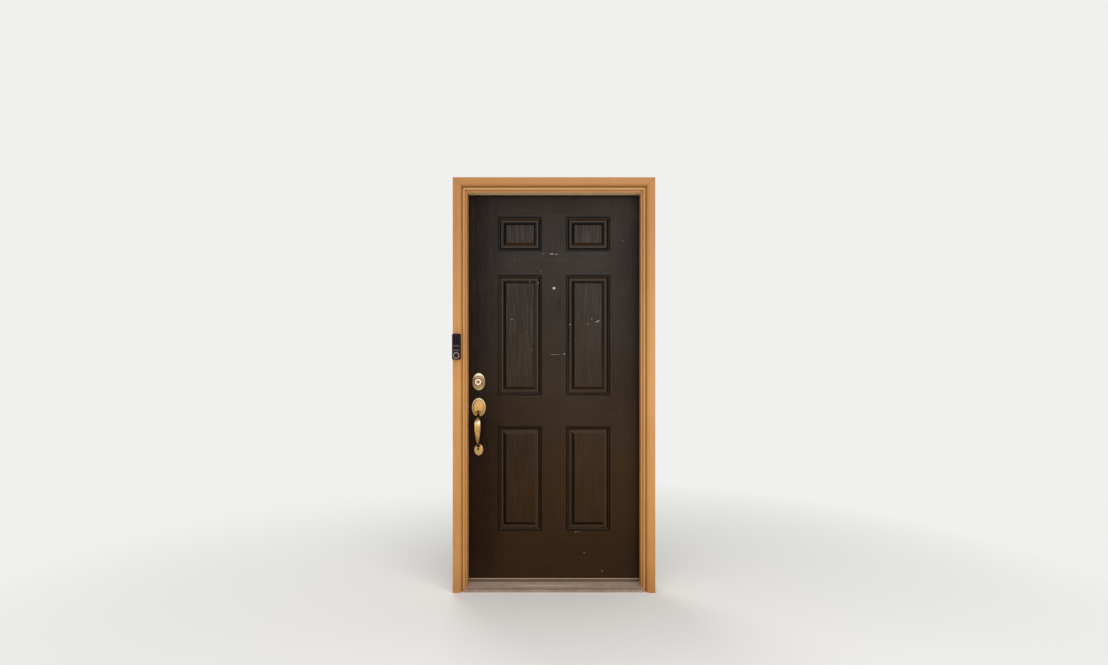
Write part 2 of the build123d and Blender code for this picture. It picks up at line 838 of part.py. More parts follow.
def panel_void(corner, lift, sink):
    # what the moulding takes out of the leaf's outer face round one panel, sunk by the skin
    x, z, height = corner
    face = leaf_face + sink
    middle = x + panel_width / 2
    with BuildPart() as void:
        with BuildLine() as path:
            Polyline((middle, face, z), (x + panel_width, face, z),
                     (x + panel_width, face, z + height), (x, face, z + height), (x, face, z),
                     (middle, face, z))
        with BuildSketch(Plane(origin=(middle, face, z), x_dir=(0, 0, 1),
                               z_dir=(-1, 0, 0))) as cut:
            moulding_section(lift)
        sweep(cut.sketch, path=path.wires()[0], transition=Transition.RIGHT)
        block((x + moulding_width, face - lift, z + moulding_width),
              (x + panel_width - moulding_width, face + field_depth,
               z + height - moulding_width))
    return void.part


cutting_voids = [panel_void(corner, skin_thick, 0.0) for corner in panel_corners]
backing_voids = [panel_void(corner, 0.0, skin_thick) for corner in panel_corners]
viewer_z = leaf_foot + viewer_height


def lock_holes():
    for z in (latch_z, deadbolt_z):
        rod((lock_x, leaf_face, z), (0, 1, 0), leaf_thick, cross_bore_radius, Mode.SUBTRACT)
    rod((0, leaf_face, viewer_z), (0, 1, 0), leaf_thick, viewer_hole_radius, Mode.SUBTRACT)


with BuildPart() as plain_skin:
    block((-leaf_edge, leaf_face, leaf_foot), (leaf_edge, leaf_face + skin_thick, leaf_top))
    for void in backing_voids:
        add(void)
    for void in cutting_voids:
        add(void, mode=Mode.SUBTRACT)
    lock_holes()

with BuildPart() as skin_outside:
    add(plain_skin.part)
    edge_cuts()
finish(skin_outside.part, "skin_outside")

with BuildPart() as skin_inside:
    add(mirror(plain_skin.part, about=Plane.XZ.offset(-leaf_middle)))
    for z in hinge_heights.values():
        add(hinge_plate_blank(leaf_plate_x, z), mode=Mode.SUBTRACT)
finish(skin_inside.part, "skin_inside")

frame_face = leaf_face + skin_thick
frame_back = leaf_back - skin_thick

with BuildPart() as stile_hinge:
    block((leaf_edge - stile_width, frame_face, leaf_foot), (leaf_edge, frame_back, leaf_top))
    for z in hinge_heights.values():
        add(hinge_plate_blank(leaf_plate_x, z), mode=Mode.SUBTRACT)
    add(leaf_screw_holes, mode=Mode.SUBTRACT)
finish(stile_hinge.part, "stile_hinge")

with BuildPart() as stile_latch:
    block((-leaf_edge, frame_face, leaf_foot), (stile_width - leaf_edge, frame_back, leaf_top))
    edge_cuts()
    add(leaf_screw_holes, mode=Mode.SUBTRACT)
finish(stile_latch.part, "stile_latch")

with BuildPart() as rail_top:
    block((stile_width - leaf_edge, frame_face, leaf_top - top_rail_height),
          (leaf_edge - stile_width, frame_back, leaf_top))
finish(rail_top.part, "rail_top")

barb_places = [leaf_middle + side * barb_spread / 2 for side in (-1, 1)]

with BuildPart() as rail_bottom:
    block((stile_width - leaf_edge, frame_face, leaf_foot),
          (leaf_edge - stile_width, frame_back, leaf_foot + bottom_rail_height))
    for y in barb_places:
        block((stile_width - leaf_edge, y - barb_width / 2 - barb_clearance, leaf_foot),
              (leaf_edge - stile_width, y + barb_width / 2 + barb_clearance,
               leaf_foot + barb_height + barb_room), Mode.SUBTRACT)
finish(rail_bottom.part, "rail_bottom")

with BuildPart() as door_sweep:
    block((-leaf_edge, leaf_face + sweep_inset, leaf_foot - sweep_base),
          (leaf_edge, leaf_back - sweep_inset, leaf_foot))
    for y in barb_places:
        block((stile_width - leaf_edge, y - barb_width / 2, leaf_foot),
              (leaf_edge - stile_width, y + barb_width / 2, leaf_foot + barb_height))
    for index in range(fin_count):
        y = leaf_face + leaf_thick * (index + 0.5) / fin_count
        block((-leaf_edge, y - sweep_fin / 2, cap_top + strip_clearance),
              (leaf_edge, y + sweep_fin / 2, leaf_foot - sweep_base))
finish(door_sweep.part, "door_sweep")

with BuildPart() as lock_block:
    block((stile_width - leaf_edge, frame_face, block_foot), (block_x, frame_back, block_top))
    edge_cuts()
finish(lock_block.part, "lock_block")

with BuildPart() as foam_core:
    block((stile_width - leaf_edge, frame_face, leaf_foot + bottom_rail_height),
          (leaf_edge - stile_width, frame_back, leaf_top - top_rail_height))
    block((stile_width - leaf_edge, frame_face, block_foot), (block_x, frame_back, block_top),
          Mode.SUBTRACT)
    for void in backing_voids:
        add(void, mode=Mode.SUBTRACT)
        add(mirror(void, about=Plane.XZ.offset(-leaf_middle)), mode=Mode.SUBTRACT)
    lock_holes()
finish(foam_core.part, "foam_core")


# Deadbolt, from the street inwards

with BuildPart() as deadbolt_rose:
    oval(outward(lock_x, leaf_face, deadbolt_z), dead_rose_width, dead_rose_height,
         dead_rose_thick, dead_rose_edge)
    oval(outward(lock_x, leaf_face - dead_rose_thick, deadbolt_z), dead_step_width,
         dead_step_height, dead_step_rise, dead_step_edge)
    rod((lock_x, leaf_face, deadbolt_z), (0, -1, 0), dead_rose_thick + dead_step_rise,
        collar_neck_radius + turn_clearance, Mode.SUBTRACT)
finish(deadbolt_rose.part, "deadbolt_rose")

collar_seat = dead_rose_thick + dead_step_rise
collar_flange_front = collar_flange_thick - collar_flange_sink

with BuildPart() as deadbolt_cylinder:
    with BuildSketch(Plane(origin=(lock_x, leaf_face, deadbolt_z), x_dir=(1, 0, 0),
                           z_dir=(0, 0, -1))) as section:
        with BuildLine():
            Polyline((0, -collar_flange_sink), (collar_flange_radius, -collar_flange_sink),
                     (collar_flange_radius, collar_flange_front),
                     (collar_neck_radius, collar_flange_front),
                     (collar_neck_radius, collar_seat), (collar_radius, collar_seat),
                     (collar_radius, collar_seat + collar_band),
                     (collar_shoulder_radius, collar_reach - collar_face_edge),
                     (collar_face_radius, collar_reach), (collar_dish_radius, collar_reach),
                     (collar_dish_radius - collar_dish_slope, collar_reach - collar_dish),
                     (0, collar_reach - collar_dish), close=True)
        make_face()
    revolve(axis=Axis((lock_x, leaf_face, deadbolt_z), (0, -1, 0)))
    rod((lock_x, leaf_face + collar_flange_sink, deadbolt_z), (0, -1, 0),
        collar_flange_sink + collar_reach, plug_radius + turn_clearance, Mode.SUBTRACT)
    for x, z in dead_screw_places:
        rod((x, leaf_face + collar_flange_sink, z), (0, -1, 0), collar_flange_thick,
            long_screw_radius + screw_clearance, Mode.SUBTRACT)
finish(deadbolt_cylinder.part, "deadbolt_cylinder")

with BuildPart() as key_plug:
    plug_front = leaf_face - collar_reach + collar_dish + plug_recess
    rod((lock_x, plug_front, deadbolt_z), (0, 1, 0), plug_length, plug_radius)
    with Locations((lock_x, plug_front + key_slot_depth / 2, deadbolt_z)):
        Box(key_slot_width, key_slot_depth, key_slot_height, mode=Mode.SUBTRACT)
finish(key_plug.part, "key_plug")

case_front = faceplate_thick - leaf_edge
dead_barrel_length = dead_bolt_length + dead_case_room

with BuildPart() as deadbolt_case:
    rod((case_front, leaf_middle, deadbolt_z), (1, 0, 0), dead_barrel_length, case_radius)
    block((case_front + dead_barrel_length, leaf_middle - dead_case_tail / 2,
           deadbolt_z - case_tail_height / 2),
          (lock_x + dead_case_end, leaf_middle + dead_case_tail / 2,
           deadbolt_z + case_tail_height / 2))
    add(dead_bolt_blank(dead_barrel_length, bolt_clearance, case_front), mode=Mode.SUBTRACT)
    rod((lock_x, leaf_middle - tailpiece_hole_depth / 2, deadbolt_z), (0, 1, 0),
        tailpiece_hole_depth, tailpiece_width / 2 + tailpiece_room, Mode.SUBTRACT)
finish(deadbolt_case.part, "deadbolt_case")

with BuildPart() as deadbolt_bolt:
    add(dead_bolt_blank(dead_bolt_length))
    tip = deadbolt_bolt.faces().sort_by(Axis.X)[0]
    chamfer(tip.edges(), dead_bolt_chamfer)
finish(deadbolt_bolt.part, "deadbolt_bolt")

with BuildPart() as thumbturn_plate:
    rod((lock_x, leaf_back, deadbolt_z), (0, 1, 0), inner_plate_thick, inner_plate_radius)
    rim = thumbturn_plate.faces().sort_by(Axis.Y)[-1]
    fillet(rim.edges(), inner_plate_edge)
    rod((lock_x, leaf_back, deadbolt_z), (0, 1, 0), inner_plate_thick,
        turn_neck_radius + turn_clearance, Mode.SUBTRACT)
    for x, z in dead_screw_places:
        rod((x, leaf_back, z), (0, 1, 0), inner_plate_thick,
            long_screw_radius + screw_clearance, Mode.SUBTRACT)
finish(thumbturn_plate.part, "thumbturn_plate")

with BuildPart() as thumbturn:
    seat = leaf_back + inner_plate_thick + turn_gap
    wing_seat = seat + turn_wing_seat
    wing_half = turn_wing_length / 2 - turn_wing_inset
    rod((lock_x, leaf_back, deadbolt_z), (0, 1, 0), seat - leaf_back, turn_neck_radius)
    rod((lock_x, seat, deadbolt_z), (0, 1, 0), turn_hub_height, turn_hub_radius)
    with BuildSketch(inward(lock_x, wing_seat, deadbolt_z)) as wing:
        SlotOverall(turn_wing_length, turn_wing_height, rotation=90)
    extrude(wing.sketch, amount=turn_wing_thick)
    block((lock_x - turn_wing_thick / 2, wing_seat, deadbolt_z - wing_half),
          (lock_x + turn_wing_thick / 2, wing_seat + turn_wing_height, deadbolt_z + wing_half))
    block((lock_x - tailpiece_thick / 2, leaf_middle - tailpiece_reach,
           deadbolt_z - tailpiece_width / 2),
          (lock_x + tailpiece_thick / 2, leaf_back, deadbolt_z + tailpiece_width / 2))
    wing_tips = thumbturn.edges().filter_by(Axis.Y).group_by(Axis.Y)[-1]
    fillet(wing_tips, turn_wing_edge)
finish(thumbturn.part, "thumbturn")


# Latch

latch_head_end = latch_head_length - leaf_edge
spring_seat = latch_head_end + spring_room

with BuildPart() as latch_case:
    rod((case_front, leaf_middle, latch_z), (1, 0, 0), spring_seat - case_front + latch_case_end,
        case_radius)
    block((spring_seat, leaf_middle - latch_case_tail / 2, latch_z - case_tail_height / 2),
          (lock_x + latch_tail_end, leaf_middle + latch_case_tail / 2,
           latch_z + case_tail_height / 2))
    add(latch_head_blank(spring_seat - case_front, bolt_clearance, case_front),
        mode=Mode.SUBTRACT)
    rod((lock_x, leaf_middle - case_radius, latch_z), (0, 1, 0), 2 * case_radius,
        spindle_hole_radius, Mode.SUBTRACT)
    block((spring_seat, leaf_middle - latch_stem / 2 - bolt_clearance,
           latch_z - latch_stem / 2 - bolt_clearance),
          (lock_x, leaf_middle + latch_stem / 2 + bolt_clearance,
           latch_z + latch_stem / 2 + bolt_clearance), Mode.SUBTRACT)
finish(latch_case.part, "latch_case")

with BuildPart() as latch_bolt:
    add(latch_head_blank(latch_head_length))
    with BuildSketch(Plane.XY.offset(latch_z - latch_height)) as bevel:
        with BuildLine():
            Polyline((-leaf_edge, leaf_middle - latch_thick / 2),
                     (-leaf_edge, leaf_middle + latch_thick / 2 - latch_tip_flat),
                     (latch_throw - leaf_edge, leaf_middle - latch_thick / 2), close=True)
        make_face()
    extrude(bevel.sketch, amount=2 * latch_height, mode=Mode.SUBTRACT)
    block((latch_head_end, leaf_middle - latch_stem / 2, latch_z - latch_stem / 2),
          (latch_head_end + latch_stem_length, leaf_middle + latch_stem / 2,
           latch_z + latch_stem / 2))
finish(latch_bolt.part, "latch_bolt")

with BuildPart() as latch_spring:
    coil_length = spring_room - 2 * (spring_wire + spring_clearance)
    coil_start = latch_head_end + spring_wire + spring_clearance
    with BuildLine() as coil:
        Helix(pitch=coil_length / spring_turns, height=coil_length, radius=spring_radius,
              center=(coil_start, leaf_middle, latch_z), direction=(1, 0, 0))
    with BuildSketch(Plane(origin=coil.line @ 0, z_dir=coil.line % 0)) as wire:
        Circle(spring_wire)
    sweep(wire.sketch, path=coil.wires()[0], is_frenet=True)
finish(latch_spring.part, "latch_spring")


# Inside knob, its rose and the long screws that clamp both sides of each lock

with BuildPart() as knob_rose:
    rod((lock_x, leaf_back, latch_z), (0, 1, 0), knob_rose_thick, knob_rose_radius)
    rim = knob_rose.faces().sort_by(Axis.Y)[-1]
    fillet(rim.edges(), knob_rose_edge)
    rod((lock_x, leaf_back, latch_z), (0, 1, 0), knob_rose_thick,
        knob_neck_radius + turn_clearance, Mode.SUBTRACT)
    for x, z in latch_screw_places:
        rod((x, leaf_back, z), (0, 1, 0), knob_rose_thick,
            long_screw_radius + screw_clearance, Mode.SUBTRACT)
finish(knob_rose.part, "knob_rose")

with BuildPart() as inside_knob:
    with BuildSketch(Plane(origin=(lock_x, leaf_back, latch_z), x_dir=(1, 0, 0),
                           z_dir=(0, 0, 1))) as section:
        with BuildLine():
            Polyline((0, 0), (knob_neck_radius, 0), (knob_neck_radius, knob_flare_start))
            TangentArc((knob_neck_radius, knob_flare_start), (knob_radius, knob_widest),
                       tangent=(1, knob_flare_slope))
            TangentArc((knob_radius, knob_widest), (knob_flat_radius, knob_reach),
                       tangent=(0, 1))
            Polyline((knob_flat_radius, knob_reach), (0, knob_reach), (0, 0))
        make_face()
    revolve(axis=Axis((lock_x, leaf_back, latch_z), (0, 1, 0)))
    block((lock_x - spindle_width / 2, leaf_middle - spindle_reach,
           latch_z - spindle_width / 2),
          (lock_x + spindle_width / 2, leaf_back + knob_rose_thick,
           latch_z + spindle_width / 2))
finish(inside_knob.part, "inside_knob")

with BuildPart() as lock_screws:
    for places, front, back in (
        (dead_screw_places, leaf_face - collar_flange_front, leaf_back + inner_plate_thick),
        (latch_screw_places, leaf_face - latch_screw_bite, leaf_back + knob_rose_thick),
    ):
        for x, z in places:
            rod((x, front, z), (0, 1, 0), back - front, long_screw_radius)
            rod((x, back, z), (0, 1, 0), long_screw_head, screw_head_radius)


# Handle: escutcheon, thumbpiece, grip and lower rose

slot_z = escutcheon_z - slot_drop
thumb_pin_y = leaf_face - thumb_pin_proud
thumb_pin_half = slot_width / 2 + thumb_pin_bite
thumb_knee_y = leaf_face - escutcheon_thick - thumb_knee
grip_root_z = escutcheon_z - grip_root_drop
grip_foot_z = lower_rose_z + grip_foot_rise


def grip_end(z, width, height, thick, grow=0.0):
    # the oval tenon that seats an end of the grip in its plate
    with BuildPart() as tenon:
        with BuildSketch(outward(lock_x, leaf_face, z)) as shape:
            Ellipse(width / 2 + grow, height / 2 + grow)
        extrude(shape.sketch, amount=thick)
    return tenon.part


with BuildPart() as handle_escutcheon:
    oval(outward(lock_x, leaf_face, escutcheon_z), escutcheon_width, escutcheon_height,
         escutcheon_rim_thick, escutcheon_rim_edge)
    oval(outward(lock_x, leaf_face - escutcheon_rim_thick, escutcheon_z),
         escutcheon_width - 2 * escutcheon_rim, escutcheon_height - 2 * escutcheon_rim,
         escutcheon_thick - escutcheon_rim_thick, escutcheon_edge)
    block((lock_x - slot_width / 2, leaf_face - escutcheon_thick, slot_z - slot_height / 2),
          (lock_x + slot_width / 2, leaf_face, slot_z + slot_height / 2), Mode.SUBTRACT)
    rod((lock_x - thumb_pin_half - thumb_pin_end_gap, thumb_pin_y, slot_z), (1, 0, 0),
        2 * (thumb_pin_half + thumb_pin_end_gap), thumb_pin_radius + turn_clearance,
        Mode.SUBTRACT)
    add(grip_end(grip_root_z, grip_root_width, grip_root_height, escutcheon_thick,
                 screw_clearance), mode=Mode.SUBTRACT)
    for x, z in latch_screw_places:
        rod((x, leaf_face, z), (0, -1, 0), latch_screw_bite + screw_clearance,
            long_screw_radius + screw_clearance, Mode.SUBTRACT)
finish(handle_escutcheon.part, "handle_escutcheon")

with BuildPart() as thumbpiece:
    # a flat neck through the slot, a wider tongue tilted down, and a tail into the bore
    with BuildSketch(Plane.XY.offset(slot_z - thumb_thick / 2)) as neck:
        with Locations((lock_x, (thumb_knee_y + leaf_face + thumb_tail) / 2)):
            Rectangle(thumb_neck_width, leaf_face + thumb_tail - thumb_knee_y)
    extrude(neck.sketch, amount=thumb_thick)
    tongue_plane = Plane(origin=(lock_x, thumb_knee_y, slot_z), x_dir=(1, 0, 0),
                         z_dir=(0, -sin(radians(thumb_tilt)), cos(radians(thumb_tilt))))
    thumb_end = thumb_root + thumb_round - thumb_reach
    with BuildSketch(tongue_plane.offset(-thumb_thick / 2)) as tongue:
        with BuildLine():
            Polyline((thumb_neck_width / 2, thumb_root), (-thumb_neck_width / 2, thumb_root),
                     (-thumb_width / 2, -thumb_shoulder), (-thumb_width / 2, thumb_end))
            ThreePointArc((-thumb_width / 2, thumb_end), (0, thumb_end - thumb_round),
                          (thumb_width / 2, thumb_end))
            Polyline((thumb_width / 2, thumb_end), (thumb_width / 2, -thumb_shoulder),
                     (thumb_neck_width / 2, thumb_root))
        make_face()
    extrude(tongue.sketch, amount=thumb_thick)
    rod((lock_x - thumb_pin_half, thumb_pin_y, slot_z), (1, 0, 0), 2 * thumb_pin_half,
        thumb_pin_radius)
finish(thumbpiece.part, "thumbpiece")

# The grip's sections: reach from the leaf, height, turn from straight out, width and depth
root_reach = escutcheon_thick + grip_straight
foot_reach = lower_rose_thick + grip_straight
grip_stations = [
    (root_reach, grip_root_z, 0, grip_root_width, grip_root_height),
    (grip_reach * 0.52, grip_root_z - 4, 22, grip_width * 0.50, 12.5),
    (grip_reach * 0.83, grip_root_z - 15, 55, grip_width * 0.74, 12.5),
    (grip_reach * 0.95, grip_root_z - 29, 74, grip_width * 0.92, 13.0),
    (grip_reach, grip_root_z - 49, 86, grip_width, grip_thick),
    (grip_reach, grip_root_z - 72, 92, grip_width, grip_thick),
    (grip_reach * 0.97, grip_root_z - 98, 97, grip_width * 0.84, 13.5),
    (grip_reach * 0.89, grip_foot_z + 45, 106, grip_width * 0.66, 12.5),
    (grip_reach * 0.74, grip_foot_z + 24, 122, grip_width * 0.50, 12.0),
    (grip_reach * 0.50, grip_foot_z + 9, 146, grip_neck_width, 11.5),
    (foot_reach, grip_foot_z, 180, grip_foot_width, grip_foot_height),
]

with BuildPart() as handle_grip:
    rings = []
    for reach, height, turn, width, depth in grip_stations:
        angle = radians(turn)
        plane = Plane(origin=(lock_x, leaf_face - reach, height), x_dir=(1, 0, 0),
                      z_dir=(0, -cos(angle), -sin(angle)))
        with BuildSketch(plane) as ring:
            Ellipse(width / 2, depth / 2)
        rings.append(ring.sketch.face())
    loft(rings)
    add(grip_end(grip_root_z, grip_root_width, grip_root_height, root_reach))
    add(grip_end(grip_foot_z, grip_foot_width, grip_foot_height, foot_reach))
finish(handle_grip.part, "handle_grip")


def rose_screw_shape(grow=0.0):
    return wood_screw((lock_x, leaf_face - lower_rose_thick, rose_screw_z), (0, 1, 0),
                      lower_rose_thick + rose_screw_bite, grow)


with BuildPart() as lower_rose:
    oval(outward(lock_x, leaf_face, lower_rose_z), lower_rose_width, lower_rose_height,
         lower_rose_thick, lower_rose_edge)
    add(grip_end(grip_foot_z, grip_foot_width, grip_foot_height, lower_rose_thick,
                 screw_clearance), mode=Mode.SUBTRACT)
    add(rose_screw_shape(screw_clearance), mode=Mode.SUBTRACT)
finish(lower_rose.part, "lower_rose")

with BuildPart() as all_lock_screws:
    add(lock_screws.part)
    add(rose_screw_shape())
finish(all_lock_screws.part, "lock_screws")


# Door viewer: a flanged barrel from the street side, a sleeve from inside, and a domed lens

with BuildPart() as viewer_barrel:
    rod((0, leaf_face, viewer_z), (0, -1, 0), viewer_flange_thick, viewer_flange_radius)
    fillet(viewer_barrel.faces().sort_by(Axis.Y)[0].edges(), viewer_flange_edge)
    rod((0, leaf_face, viewer_z), (0, 1, 0), viewer_barrel_length, viewer_barrel_radius)
    rod((0, leaf_face - viewer_flange_thick, viewer_z), (0, 1, 0),
        viewer_barrel_length + viewer_flange_thick, viewer_bore_radius, Mode.SUBTRACT)
finish(viewer_barrel.part, "viewer_barrel")

with BuildPart() as viewer_lens:
    lens_back = leaf_face + viewer_lens_thick
    with BuildSketch(Plane(origin=(0, lens_back, viewer_z), x_dir=(1, 0, 0),
                           z_dir=(0, 0, -1))) as section:
        with BuildLine():
            Polyline((0, 0), (viewer_bore_radius - turn_clearance, 0),
                     (viewer_bore_radius - turn_clearance, viewer_lens_thick))
            TangentArc((0, viewer_lens_thick + viewer_lens_dome),
                       (viewer_bore_radius - turn_clearance, viewer_lens_thick), tangent=(1, 0))
            Polyline((0, viewer_lens_thick + viewer_lens_dome), (0, 0))
        make_face()
    revolve(axis=Axis((0, lens_back, viewer_z), (0, -1, 0)))
finish(viewer_lens.part, "viewer_lens")

with BuildPart() as viewer_sleeve:
    sleeve_radius = viewer_bore_radius - screw_clearance
    rod((0, leaf_back, viewer_z), (0, 1, 0), viewer_flange_thick,
        viewer_flange_radius + viewer_sleeve_rim)
    fillet(viewer_sleeve.faces().sort_by(Axis.Y)[-1].edges(), viewer_flange_edge)
    rod((0, leaf_back, viewer_z), (0, -1, 0), viewer_sleeve_length, sleeve_radius)
    rod((0, leaf_back + viewer_flange_thick, viewer_z), (0, -1, 0),
        viewer_sleeve_length + viewer_flange_thick, viewer_sleeve_bore, Mode.SUBTRACT)
finish(viewer_sleeve.part, "viewer_sleeve")


# Doorbell, on the flat of the left casing: a bracket, the body over it and what is let into it

bell_back = -casing_thick
bell_front = bell_back - bracket_thick - bell_reach
bell_x = -bell_offset
bell_z = bell_height_over_sill
flat_start = bead_width + quirk_width + slope_width
bracket_x = -casing_inner_x - (flat_start + casing_width) / 2
window_z = bell_z + bell_height / 2 - window_drop - window_height / 2
button_z = bell_z - bell_height / 2 + button_rise
window_seat = bell_front + window_thick
ring_seat = bell_front + ring_thick - ring_proud
button_front = bell_front - button_proud
button_seat = button_front + button_thick + button_travel + strip_clearance


def rounded_plate(plane, width, height, corner, thick, mode=Mode.ADD):
    with BuildSketch(plane) as shape:
        RectangleRounded(width, height, corner)
    extrude(shape.sketch, amount=thick, mode=mode)


with BuildPart() as doorbell_bracket:
    rounded_plate(outward(bracket_x, bell_back, bell_z), bracket_width, bracket_height,
                  bracket_corner, bracket_thick)
finish(doorbell_bracket.part, "doorbell_bracket")

with BuildPart() as doorbell_body:
    rounded_plate(outward(bell_x, bell_back, bell_z), bell_width, bell_height, bell_corner,
                  bell_back - bell_front)
    fillet(doorbell_body.faces().sort_by(Axis.Y)[0].edges(), bell_edge)
    rounded_plate(outward(bracket_x, bell_back, bell_z), bracket_width + 2 * bolt_clearance,
                  bracket_height + 2 * bolt_clearance, bracket_corner + bolt_clearance,
                  bracket_thick, Mode.SUBTRACT)
    rounded_plate(outward(bell_x, window_seat, window_z), window_width + 2 * screw_clearance,
                  window_height + 2 * screw_clearance, window_corner, window_thick,
                  Mode.SUBTRACT)
    rod((bell_x, ring_seat, button_z), (0, -1, 0), ring_seat - bell_front,
        ring_outer_radius + screw_clearance, Mode.SUBTRACT)
    rod((bell_x, button_seat, button_z), (0, -1, 0), button_seat - bell_front,
        button_radius + bolt_clearance, Mode.SUBTRACT)
finish(doorbell_body.part, "doorbell_body")

with BuildPart() as doorbell_window:
    rounded_plate(outward(bell_x, window_seat, window_z), window_width, window_height,
                  window_corner - screw_clearance, window_thick + window_proud)
finish(doorbell_window.part, "doorbell_window")

with BuildPart() as doorbell_ring:
    rod((bell_x, ring_seat, button_z), (0, -1, 0), ring_thick, ring_outer_radius)
    fillet(doorbell_ring.faces().sort_by(Axis.Y)[0].edges(), ring_edge)
    rod((bell_x, ring_seat, button_z), (0, -1, 0), ring_thick, ring_inner_radius, Mode.SUBTRACT)
finish(doorbell_ring.part, "doorbell_ring")

with BuildPart() as doorbell_button:
    rod((bell_x, button_front, button_z), (0, 1, 0), button_thick, button_radius)
    fillet(doorbell_button.faces().sort_by(Axis.Y)[0].edges(), button_edge)
finish(doorbell_button.part, "doorbell_button")
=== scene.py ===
import bmesh
import bpy
import math
import random
from mathutils import Matrix, Vector
from mathutils.bvhtree import BVHTree


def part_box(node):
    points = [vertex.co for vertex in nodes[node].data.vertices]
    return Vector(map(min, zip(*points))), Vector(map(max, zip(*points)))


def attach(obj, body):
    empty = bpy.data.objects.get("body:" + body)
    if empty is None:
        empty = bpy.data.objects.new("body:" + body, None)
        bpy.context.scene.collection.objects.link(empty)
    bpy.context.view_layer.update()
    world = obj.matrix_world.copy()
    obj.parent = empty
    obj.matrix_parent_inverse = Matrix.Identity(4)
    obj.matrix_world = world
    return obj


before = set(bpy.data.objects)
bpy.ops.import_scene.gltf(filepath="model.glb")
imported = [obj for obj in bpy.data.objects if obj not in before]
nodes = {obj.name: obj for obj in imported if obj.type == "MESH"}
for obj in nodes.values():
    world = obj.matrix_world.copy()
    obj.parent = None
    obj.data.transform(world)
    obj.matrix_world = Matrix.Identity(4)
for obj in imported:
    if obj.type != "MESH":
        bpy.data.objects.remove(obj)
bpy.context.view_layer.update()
print("frame loaded:", len(nodes), "pieces")

# Sizes are in metres. X runs along the wall, Y into the house and Z up.
leafLow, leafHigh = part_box("skin_outside")
leafFace = leafLow.y
leafMiddle = (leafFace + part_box("skin_inside")[1].y) / 2
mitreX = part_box("casing_right")[0].x
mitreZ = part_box("casing_head")[0].z


# Camera

cameraView = dict(height=1.234, distance=3.51, focalPixels=685.0, imageWidth=1108.0, imageHeight=665.0,
                  eyeRow=350.0, sensorWidth=36.0)


def placeCamera(view):
    data = bpy.data.cameras.new("doorCamera")
    data.sensor_width = view["sensorWidth"]
    data.lens = view["focalPixels"] / view["imageWidth"] * data.sensor_width
    data.shift_y = (view["eyeRow"] - view["imageHeight"] / 2) / view["imageWidth"]
    camera = bpy.data.objects.new("doorCamera", data)
    camera.location = (0, -view["distance"], view["height"])
    camera.rotation_euler = (math.radians(90), 0, 0)
    bpy.context.scene.collection.objects.link(camera)
    bpy.context.scene.camera = camera


placeCamera(cameraView)


# Node helpers

def tone(red, green, blue):
    # a paint chart's 0 to 255 colour as the linear colour that a shader takes
    linear = []
    for part in (red, green, blue):
        share = part / 255
        linear.append(share / 12.92 if share <= 0.04045 else ((share + 0.055) / 1.055) ** 2.4)
    return (*linear, 1.0)


def feed(tree, socket, value):
    if isinstance(value, bpy.types.NodeSocket):
        tree.links.new(value, socket)
    else:
        socket.default_value = value


def startMaterial(name, **sockets):
    material = bpy.data.materials.new(name)
    material.use_nodes = True
    tree = material.node_tree
    shader = tree.nodes["Principled BSDF"]
    for socket, value in sockets.items():
        shader.inputs[socket.replace("_", " ")].default_value = value
    where = tree.nodes.new("ShaderNodeTexCoord").outputs["Object"]
    return material, tree, shader, where


def reopen(material):
    # what is needed to paint over a finished material, with the colour that it has so far
    tree = material.node_tree
    shader = tree.nodes["Principled BSDF"]
    where = tree.nodes.new("ShaderNodeTexCoord").outputs["Object"]
    return tree, shader, where, shader.inputs["Base Color"].links[0].from_socket


def dress(tree, shader, colour, roughness=None, normal=None):
    for socket, value in (("Base Color", colour), ("Roughness", roughness), ("Normal", normal)):
        if value is not None:
            tree.links.new(value, shader.inputs[socket])


def mapped(tree, where, scale=(1, 1, 1), turn=(0, 0, 0)):
    made = tree.nodes.new("ShaderNodeMapping")
    feed(tree, made.inputs["Vector"], where)
    made.inputs["Rotation"].default_value = turn
    made.inputs["Scale"].default_value = scale
    return made.outputs["Vector"]


def noise(tree, where, scale, detail=3.0, roughness=0.55, distortion=0.0):
    made = tree.nodes.new("ShaderNodeTexNoise")
    feed(tree, made.inputs["Vector"], where)
    made.inputs["Scale"].default_value = scale
    made.inputs["Detail"].default_value = detail
    made.inputs["Roughness"].default_value = roughness
    made.inputs["Distortion"].default_value = distortion
    return made.outputs["Fac"]


def cells(tree, where, scale):
    made = tree.nodes.new("ShaderNodeTexVoronoi")
    feed(tree, made.inputs["Vector"], where)
    made.inputs["Scale"].default_value = scale
    return made.outputs["Distance"]


def calc(tree, operation, *values):
    made = tree.nodes.new("ShaderNodeMath")
    made.operation = operation
    for socket, value in zip(made.inputs, values):
        feed(tree, socket, value)
    return made.outputs["Value"]


def total(tree, *values):
    result = values[0]
    for value in values[1:]:
        result = calc(tree, "ADD", result, value)
    return result


def product(tree, *values):
    result = values[0]
    for value in values[1:]:
        result = calc(tree, "MULTIPLY", result, value)
    return result


def apart(tree, first, second):
    return calc(tree, "ABSOLUTE", calc(tree, "SUBTRACT", first, second))


def within(tree, value, low, high):
    return product(tree, calc(tree, "GREATER_THAN", value, low), calc(tree, "LESS_THAN", value, high))


def span(tree, value, low, high, start=0.0, end=1.0):
    # value from low to high becomes start to end, and stays within them
    made = tree.nodes.new("ShaderNodeMapRange")
    feed(tree, made.inputs["Value"], value)
    made.inputs["From Min"].default_value = low
    made.inputs["From Max"].default_value = high
    made.inputs["To Min"].default_value = start
    made.inputs["To Max"].default_value = end
    return made.outputs["Result"]


